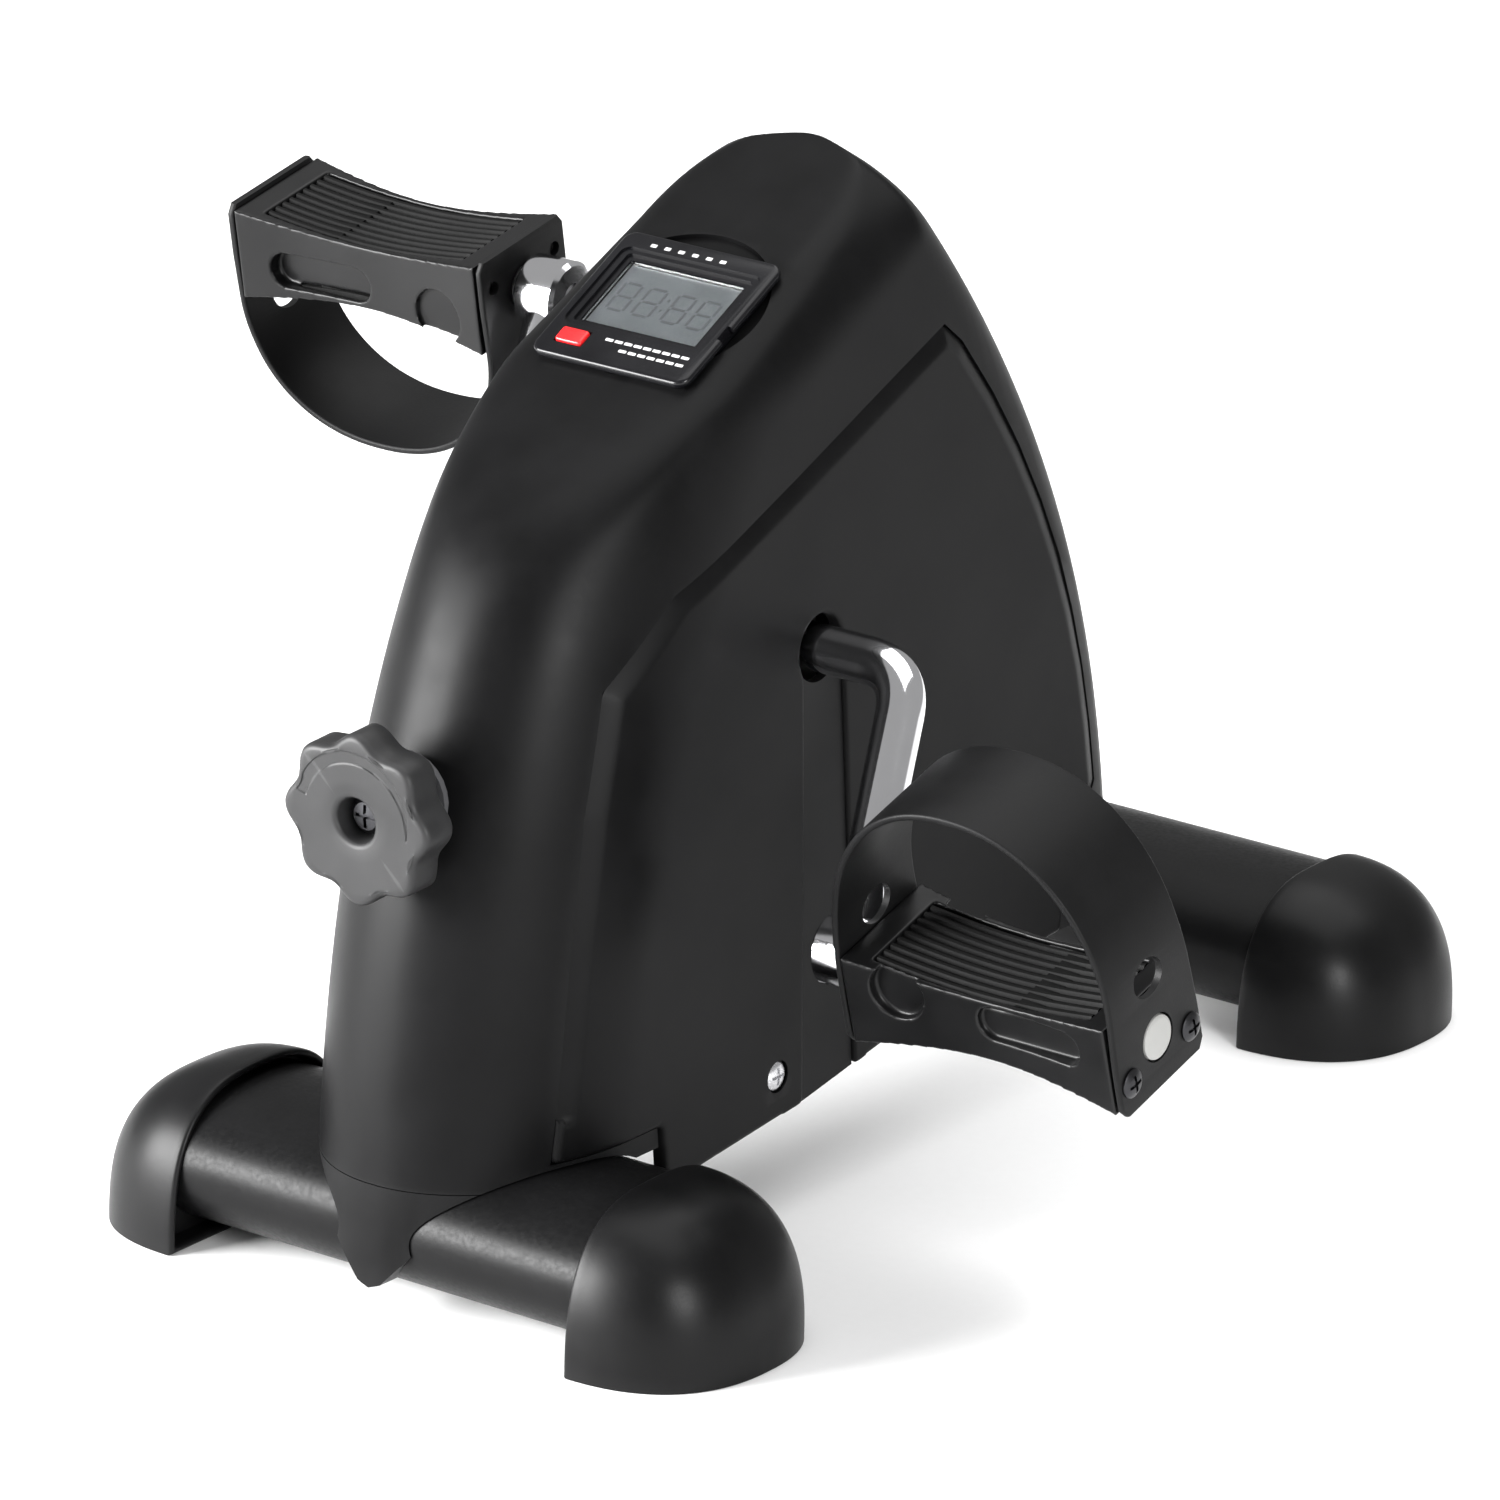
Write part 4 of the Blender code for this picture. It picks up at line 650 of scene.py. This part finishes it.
def foot_cap(name, y, sign):
    """Quarter-egg rubber foot, flat underneath, with a hollow, rounded rim round the bar."""
    def ring(x, wide, tall, low):
        arc = [math.pi * i / 96 for i in range(97)]
        points = [(y + math.copysign(abs(math.cos(t)) ** 0.72, math.cos(t)) * wide,
                   low + (tall - low) * max(math.sin(t), 0.0) ** 0.72) for t in arc]
        points += [(y - wide * (1.0 - 2.0 * i / 32), low) for i in range(1, 32)]
        return [(sign * x, u, v) for u, v in points]

    rings = []
    for k in range(35, 0, -1):
        t = 0.5 * math.pi * k / 36
        along, across = math.sin(t) ** (2 / 2.4), math.cos(t) ** (2 / 2.4)
        rings.append(ring(CAP_RIM_X + CAP_LONG * along, CAP_A * across, CAP_TOP * across, 0.0))
    for inset, x in ((0.0, 0.0014), (0.00012, 0.0008), (0.0004, 0.00035), (0.0009, 0.00005), (0.0014, 0.0),
                     (0.0019, 0.0002), (0.0023, 0.0007), (0.0025, 0.0015), (0.0026, 0.0060)):
        rings.append(ring(CAP_RIM_X + x, CAP_A - inset, CAP_TOP - inset, inset))
    piece(loft(name.replace("cap", "foot"), rings), "cap", "frame", name, angle=50.0)


# ------------------------------------------------------------------ crank

def arm_end(sign):
    return Vector((sign * EYE_X, AXIS_Y - sign * THROW * math.cos(CRANK_ANGLE),
                   AXIS_Z - sign * THROW * math.sin(CRANK_ANGLE)))


def crank():
    """One bent rod swept through both arms, with an eye at each end."""
    corners = []
    for sign in (-1, 1):
        bend = Vector((sign * BEND_X, AXIS_Y, AXIS_Z))
        end = arm_end(sign)
        pair = [end + (end - bend).normalized() * 0.004, bend]
        corners += pair if sign < 0 else pair[::-1]
    path = [corners[0]]
    for i in (1, 2):
        before, after = (corners[i - 1] - corners[i]).normalized(), (corners[i + 1] - corners[i]).normalized()
        start, stop = corners[i] + before * BEND_REACH, corners[i] + after * BEND_REACH
        path += [start * (1 - s) ** 2 + corners[i] * 2 * s * (1 - s) + stop * s ** 2
                 for s in (k / 16 for k in range(17))]
    path.append(corners[3])
    rings, normal = [], Vector((0.0, -math.sin(CRANK_ANGLE), math.cos(CRANK_ANGLE)))
    for i, p in enumerate(path):
        ahead = (path[min(i + 1, len(path) - 1)] - path[max(i - 1, 0)]).normalized()
        side = ahead.cross(normal).normalized()
        rings.append([p + (side * math.cos(t) + normal * math.sin(t)) * ROD_R
                      for t in (2 * math.pi * k / 64 for k in range(64))])
    obj = loft("crank_bar", rings)
    for sign in (1, -1):
        end = arm_end(sign)
        ring = lathe("eye", [(0.0, -0.0075), (EYE_R - 0.0012, -0.0075), (EYE_R, -0.0063), (EYE_R, 0.0063),
                             (EYE_R - 0.0012, 0.0075), (0.0, 0.0075)], along_x(end), 96)
        cut(obj, ring, 'UNION')
        cut(obj, prism("bore", circle(0.0043, 48, (end.y, end.z)), end.x - 0.02, end.x + 0.02))
    piece(obj, "chrome", "crank", "crank", angle=28.0)


# ------------------------------------------------------------------ knob

def knob():
    """Lobed knob: polar rings from the back of the neck, over the rim, into the centre well."""
    count = 320
    rings = []

    def ring(radius_of, height_of):
        rings.append([(radius_of(t) * math.cos(t), radius_of(t) * math.sin(t), height_of(t))
                      for t in (2 * math.pi * i / count for i in range(count))])

    def lobes(inset):
        return lambda t: KNOB_R + 0.0016 * math.cos(8 * t) - inset

    for r, z in ((0.0044, -0.0244), (0.0110, -0.0244), (0.0110, -KNOB_T - 0.0002)):
        ring(lambda t, r=r: r, lambda t, z=z: z)
    for inset, z in ((0.0060, -KNOB_T), (0.0014, -KNOB_T), (0.0006, -KNOB_T + 0.0002),
                     (0.0, -KNOB_T + 0.0010), (0.0, -0.0060), (0.0, -0.0024), (0.00015, -0.0015),
                     (0.0006, -0.0007), (0.0013, -0.0002), (0.0022, 0.0)):
        ring(lobes(inset), lambda t, z=z: z)
    for k in range(23):
        r = 0.0218 - k * 0.00032

        def height(t, r=r):
            turn = (math.degrees(t) + 360.0) % 360.0
            share = (turn + 6.0) / 172.0 if turn < 200.0 else (turn - 354.0) / 172.0
            if not 0.0 < share < 1.0:
                return 0.0
            middle = 0.0196 - 0.0010 * (1.0 - share)
            half = 0.0021 * math.sin(math.pi * min(share * 0.62 + 0.02, 1.0)) ** 0.8
            inside = min(max((half - abs(r - middle)) / 0.0004, 0.0), 1.0)
            return -0.00035 * inside * inside * (3 - 2 * inside)

        ring(lambda t, r=r: r, height)
    for r, z in ((0.0125, 0.0), (0.0086, 0.0), (0.0078, -0.0002), (0.0071, -0.0007), (0.0068, -0.0016),
                 (0.0067, -0.0085), (0.0044, -0.0086), (0.0044, -0.0244)):
        ring(lambda t, r=r: r, lambda t, z=z: z)
    obj = loft("knob_grip", rings, knob_matrix(), False)
    piece(obj, "knob", "knob", "tension_knob", angle=38.0)


# ------------------------------------------------------------------ pedals

def pedal_matrix(sign):
    end = arm_end(sign)
    angle = PEDAL_TILT[1] if sign > 0 else PEDAL_TILT[-1] + math.pi
    return Matrix.Translation((0.0, end.y, end.z)) @ Matrix.Rotation(angle, 4, 'X')


def pedal_body(side, sign):
    """Waisted block with scooped flanks, beds for the treads and a bore for the spindle."""
    place = pedal_matrix(sign)
    mid, half = 0.5 * (PEDAL_IN + PEDAL_OUT), 0.5 * (PEDAL_OUT - PEDAL_IN)

    def waist(full, depth):
        upper = [(sign * (mid + half * s), full - depth * math.cos(0.5 * math.pi * s))
                 for s in (-1 + k / 14 for k in range(29))]
        return upper + [(u, -v) for u, v in reversed(upper)]

    obj = prism("pedal_block_" + side, waist(PEDAL_HALF_W - 0.0008, 0.0035), -0.03, 0.03, 'Z', place)
    cut(obj, prism("side view", waist(PEDAL_HALF_T, PEDAL_SAG), -0.04, 0.04, 'Y', place), 'INTERSECT')
    for flank in (-1, 1):
        low, high = sorted((flank * (PEDAL_HALF_W - 0.0052), flank * 0.03))
        cut(obj, prism("scoop", circle(0.0088, 64, (sign * 0.1190, 0.0060)), low, high, 'Y', place))
        low, high = sorted((flank * (PEDAL_HALF_W - 0.0066), flank * 0.03))
        hollow = rounded_box(0.0182, 0.0057, 0.0054, 10, (sign * 0.1640, 0.0030))
        cut(obj, prism("hollow", hollow, low, high, 'Y', place))
    for face in (1, -1):
        bed = [(-0.0156, PEDAL_HALF_T - 0.0035), (0.0156, PEDAL_HALF_T - 0.0035),
               (0.0156, PEDAL_HALF_T + 0.01), (-0.0156, PEDAL_HALF_T + 0.01)]
        cut(obj, sagging("tread bed", bed, sign * mid, 0.0376, face, place))
    soften(obj, 0.0005, 4, 0.3)
    low, high = span(sign, PEDAL_IN - 0.01, PEDAL_OUT + 0.01)
    cut(obj, prism("bore", circle(0.0072, 48), low, high, 'X', place))
    piece(obj, "pedal", "pedal_" + side, "pedal_body_" + side, angle=60.0)


def sagging(name, outline, mid, half, face, place):
    """Bar along X with the given (y, z) section, its height following the pedal's waist."""
    rings = []
    for k in range(33):
        x = mid - half + 2 * half * k / 32
        drop = PEDAL_SAG * math.cos(math.pi * (x - mid) / (PEDAL_OUT - PEDAL_IN))
        rings.append([(x, u, face * (v - drop)) for u, v in outline])
    return loft(name, rings, place)


def tread(side, sign, face):
    """Ribbed pad: rounded ribs along the pedal with a plain bar across."""
    mid, count = 0.5 * (PEDAL_IN + PEDAL_OUT), 9
    crest, root, base = PEDAL_HALF_T - 0.0002, PEDAL_HALF_T - 0.0013, PEDAL_HALF_T - 0.0032
    outline, steps = [(-0.0152, base), (0.0152, base)], 14 * count
    for k in range(steps + 1):
        u = 0.0152 - 0.0304 * k / steps
        wave = math.cos(2 * math.pi * count * (u + 0.0152) / 0.0304 + math.pi)
        outline.append((u, root + (crest - root) * min(max(0.55 + 1.1 * wave, 0.0), 1.0)))
    place = pedal_matrix(sign)
    obj = sagging("tread_%s_%d" % (side, face), outline, sign * mid, 0.0372, face, place)
    low, high = base + 0.0002, crest - 0.0001
    bar = [(-0.0148, low), (0.0148, low), (0.0148, high), (-0.0148, high)]
    cut(obj, sagging("bar", bar, sign * (mid + 0.0150), 0.0042, face, place), 'UNION')
    where = "strap_side" if face > 0 else "far_side"
    piece(obj, "tread", "pedal_" + side, "pedal_tread_%s_%s" % (side, where))


def strap(side, sign, height):
    """Ribbon with rounded edges, up the ends and over in half an ellipse."""
    inner, outer = PEDAL_IN - STRAP_GAP, PEDAL_OUT + STRAP_GAP
    mid, half, foot, base = 0.5 * (inner + outer), 0.5 * (outer - inner), -0.0157, 0.014
    path = [(inner, foot + 0.017 * k / 6) for k in range(7)]
    for k in range(73):
        t = math.pi * (1 - k / 72)
        path.append((mid + half * math.copysign(abs(math.cos(t)) ** 0.92, math.cos(t)),
                     base + (height - base) * max(math.sin(t), 0.0) ** 0.92))
    path += [(outer, foot + 0.017 * k / 6) for k in range(6, -1, -1)]
    path = [Vector((sign * x, z)) for x, z in path]
    rings = []
    for i, p in enumerate(path):
        ahead = (path[min(i + 1, len(path) - 1)] - path[max(i - 1, 0)]).normalized()
        normal = Vector((-ahead.y, ahead.x))
        wide = 0.0206 - (0.0206 - STRAP_HALF_W) * max(0.0, min(1.0, p.y / 0.030))
        ends = min(1.0, min(i, len(path) - 1 - i) / 3 + 0.90)
        ring = []
        for u, w in rounded_box(STRAP_T / 2, wide * ends, 0.0009, 5):
            q = p + normal * u
            ring.append((q.x, w, q.y))
        rings.append(ring)
    place = pedal_matrix(sign)
    obj = loft("foot_strap_" + side, rings, place)
    low, high = span(sign, 0.05, 0.23)
    for outline in (circle(0.0074, 64), circle(0.0058, 64, (0.0, 0.0205), 2.0, 1.2),
                    circle(0.0023, 24, (-SCREW_Y, SCREW_Z)), circle(0.0023, 24, (SCREW_Y, SCREW_Z))):
        cut(obj, prism("hole", outline, low, high, 'X', place))
    piece(obj, "strap", "pedal_" + side, "pedal_strap_" + side, angle=40.0)


def cross_screw(name, look, body, node, radius, place, rise=0.0016):
    """Pan head with a cross recess."""
    head = [(0.0, rise), (radius * 0.45, rise * 0.94), (radius * 0.8, rise * 0.62), (radius, rise * 0.2)]
    shank = [(radius, 0.0), (radius * 0.42, 0.0), (radius * 0.42, -0.0016), (0.0, -0.0016)]
    obj = lathe(name, head + shank, place, 48)
    for size in ((radius * 1.25, radius * 0.24, 0.0018), (radius * 0.24, radius * 1.25, 0.0018)):
        cut(obj, block("cross", size, (0.0, 0.0, rise), place))
    piece(obj, look, body, node, angle=30.0)


def pedal(side, sign, height):
    body = "pedal_" + side
    pedal_body(side, sign)
    tread(side, sign, 1)
    tread(side, sign, -1)
    strap(side, sign, height)
    for k in (-1, 1):
        face = PEDAL_OUT + STRAP_GAP + STRAP_T / 2 + GAP
        place = pedal_matrix(sign) @ along_x((sign * face, k * SCREW_Y, SCREW_Z), sign)
        word = "front" if k * sign < 0 else "rear"
        label = "screw_%s_%s" % (side, word)
        cross_screw(label, "oxide", body, "strap_" + label, SCREW_R, place)
    place = pedal_matrix(sign) @ along_x((sign * PEDAL_OUT, 0.0, 0.0), sign)
    profile = [(0.0, 0.0034), (0.0052, 0.0034), (0.0060, 0.0033), (0.0066, 0.0029), (0.0068, 0.0022),
               (0.0068, -0.0040), (0.0, -0.0040)]
    obj = lathe("disc_" + side, profile, place, 72)
    piece(obj, "white", body, "pedal_cap_" + side)


# ------------------------------------------------------------------ display

def digit(u, v, w, h):
    """Seven-segment figure as flat bars: (centre, half size) pairs in the slope plane."""
    thick = 0.00045
    level = [((u, v + k * h), (w * 0.78, thick)) for k in (1, 0, -1)]
    return level + [((u + a * w, v + b * h / 2), (thick, h * 0.42)) for a in (-1, 1) for b in (1, -1)]


def marks(name, bars, height, look):
    """Thin printed bars at a height above the slope."""
    verts, faces = [], []
    for (u, v), (a, b) in bars:
        n = len(verts)
        for z in (height, height + 0.00006):
            verts += [(u - a, v - b, z), (u + a, v - b, z), (u + a, v + b, z), (u - a, v + b, z)]
        faces += [(n + 3, n + 2, n + 1, n), (n + 4, n + 5, n + 6, n + 7)]
        faces += [(n + i, n + (i + 1) % 4, n + 4 + (i + 1) % 4, n + 4 + i) for i in range(4)]
    piece(solid(name, verts, faces, display_matrix()), look, "frame")


def display_unit():
    place = display_matrix()
    obj = prism("display_frame", rounded_box(UNIT_W / 2, UNIT_H / 2, 0.0042, 10), 0.0004, FACE_Z, 'Z', place)
    rounded(obj, 0.0012)
    cut(obj, block("body", (UNIT_W - 0.004, UNIT_H - 0.004, 0.0130), (0.0, 0.0, -0.0045), place), 'UNION')
    cut(obj, block("room", (UNIT_W - 0.008, UNIT_H - 0.008, 0.0120), (0.0, 0.0, -0.0064), place))
    for half_u, half_v, radius, floor in ((0.0250, 0.0172, 0.0030, 0.0027), (0.0226, 0.0152, 0.0014, 0.0019)):
        step = rounded_box(half_u, half_v, radius, 8, (0.0, WINDOW_V))
        cut(obj, prism("frame", step, floor, 0.01, 'Z', place))
    cut(obj, block("opening", (0.0412, 0.0270, 0.03), (0.0, 0.0030, 0.0), place))
    cut(obj, block("key", (0.0100, 0.0064, 0.03), (KEY_U, KEY_V, 0.0), place))
    cut(obj, block("notch", (0.0030, 0.0060, 0.02), (UNIT_W / 2, -0.0040, 0.008), place))
    piece(obj, "housing", "frame", "display_housing")
    key = place @ Matrix.Translation((KEY_U, KEY_V, 0.0))
    obj = prism("button_top", rounded_box(0.0047, 0.0029, 0.0011, 8), -0.0009, 0.0043, 'Z', key)
    rounded(obj, 0.0008)
    cut(obj, block("skirt", (0.0112, 0.0076, 0.0010), (0.0, 0.0, -0.0012), key), 'UNION')
    piece(obj, "button", "button", "mode_button")
    lit = []
    for u in (-0.0143, -0.0052, 0.0052, 0.0143):
        lit += digit(u, 0.0030, 0.0030, 0.0058)
    lit += [((0.0, 0.0055), (0.0004, 0.0005)), ((0.0, 0.0010), (0.0004, 0.0005))]
    marks("display_digits", lit, 0.00033, "faint")
    rows = [((-0.0052 + 0.0034 * k, -0.0170), (0.0013, 0.0005)) for k in range(9)]
    rows += [((0.0016 + 0.0034 * k, -0.0202), (0.0013, 0.0005)) for k in range(7)]
    marks("display_print", rows, FACE_Z + 0.00002, "print")
    dots = [((-0.0160 + 0.0050 * k, 0.0226), (0.0010, 0.0006)) for k in range(6)]
    marks("display_row", dots, FACE_Z + 0.00002, "print")


centre_cover()
side_covers()
saddle()
for bar_name, bar_y in (("front", -BAR_Y), ("rear", BAR_Y)):
    foot_bar(bar_name, bar_y)
    for side_name, side_sign in SIDES:
        foot_cap("%s_cap_%s" % (bar_name, side_name), bar_y, side_sign)
crank()
knob()
pedal("right", 1, 0.0725)
pedal("left", -1, 0.0560)
for side_name, side_sign in SIDES:
    cross_screw("cover_screw_head_" + side_name, "zinc", "frame", "cover_screw_" + side_name, SCREW_R,
                along_x((side_sign * COVER_SCREW_X, *COVER_SCREW), side_sign), 0.0012)
display_unit()


# ------------------------------------------------------------------ camera, light, floor

def camera():
    """Long lens, a little above the machine and a little rolled."""
    azimuth, elevation, roll = math.radians(35.9), math.radians(19.4), math.radians(1.44)
    distance = 3.237
    back = Vector((math.sin(azimuth) * math.cos(elevation), -math.cos(azimuth) * math.cos(elevation),
                   math.sin(elevation)))
    right = Vector((math.cos(azimuth), math.sin(azimuth), 0.0))
    up = back.cross(right)
    turned_right = right * math.cos(roll) + up * math.sin(roll)
    turned_up = up * math.cos(roll) - right * math.sin(roll)
    aim = Vector((0.0, AXIS_Y + SHIFT_Y, 0.150)) + turned_right * 0.0178 - turned_up * 0.0167
    data = bpy.data.cameras.new("camera")
    data.lens = 264.1
    data.sensor_width = 36.0
    data.clip_end = 50.0
    cam = bpy.data.objects.new("camera", data)
    turn = Matrix((turned_right, turned_up, back)).transposed().to_4x4()
    cam.matrix_world = Matrix.Translation(aim + back * distance) @ turn
    bpy.context.scene.collection.objects.link(cam)
    bpy.context.scene.camera = cam


def area_light(name, place, target, size, power, shape=(1.0, 1.0)):
    data = bpy.data.lights.new(name, 'AREA')
    data.shape = 'RECTANGLE'
    data.size, data.size_y = size * shape[0], size * shape[1]
    data.energy = power
    lamp = bpy.data.objects.new(name, data)
    lamp.location = place
    lamp.rotation_euler = (Vector(place) - Vector(target)).to_track_quat('Z', 'Y').to_euler()
    bpy.context.scene.collection.objects.link(lamp)


def studio():
    world = bpy.data.worlds.new("studio")
    world.use_nodes = True
    world.node_tree.nodes["Background"].inputs[0].default_value = (1.0, 1.0, 1.0, 1.0)
    world.node_tree.nodes["Background"].inputs[1].default_value = 0.38
    bpy.context.scene.world = world
    bpy.context.scene.view_settings.view_transform = 'Standard'
    middle = (0.0, -0.02, 0.15)
    area_light("key", (-1.35, -1.75, 0.62), middle, 1.0, 210.0, (1.5, 1.0))
    area_light("fill", (1.9, -0.95, 0.75), middle, 0.6, 34.0)
    area_light("overhead", (0.2, 0.9, 3.6), (0.2, 0.5, 0.0), 4.2, 140.0)
    mesh = bpy.data.meshes.new("floor")
    bm = bmesh.new()
    bmesh.ops.create_grid(bm, x_segments=8, y_segments=8, size=6.0)
    bm.to_mesh(mesh)
    bm.free()
    floor = bpy.data.objects.new("floor", mesh)
    bpy.context.scene.collection.objects.link(floor)
    mat, nodes, links, bsdf = tree("floor_paper")
    grain = noise(nodes, links, 300.0, 3.0)
    base = mix_color(nodes, links, grain, (0.93, 0.93, 0.93), (0.96, 0.96, 0.96))
    links.new(base, bsdf.inputs["Base Color"])
    bsdf.inputs["Roughness"].default_value = 0.9
    floor.data.materials.append(mat)
    floor.location = (0.0, 0.0, -0.0002)


camera()
studio()
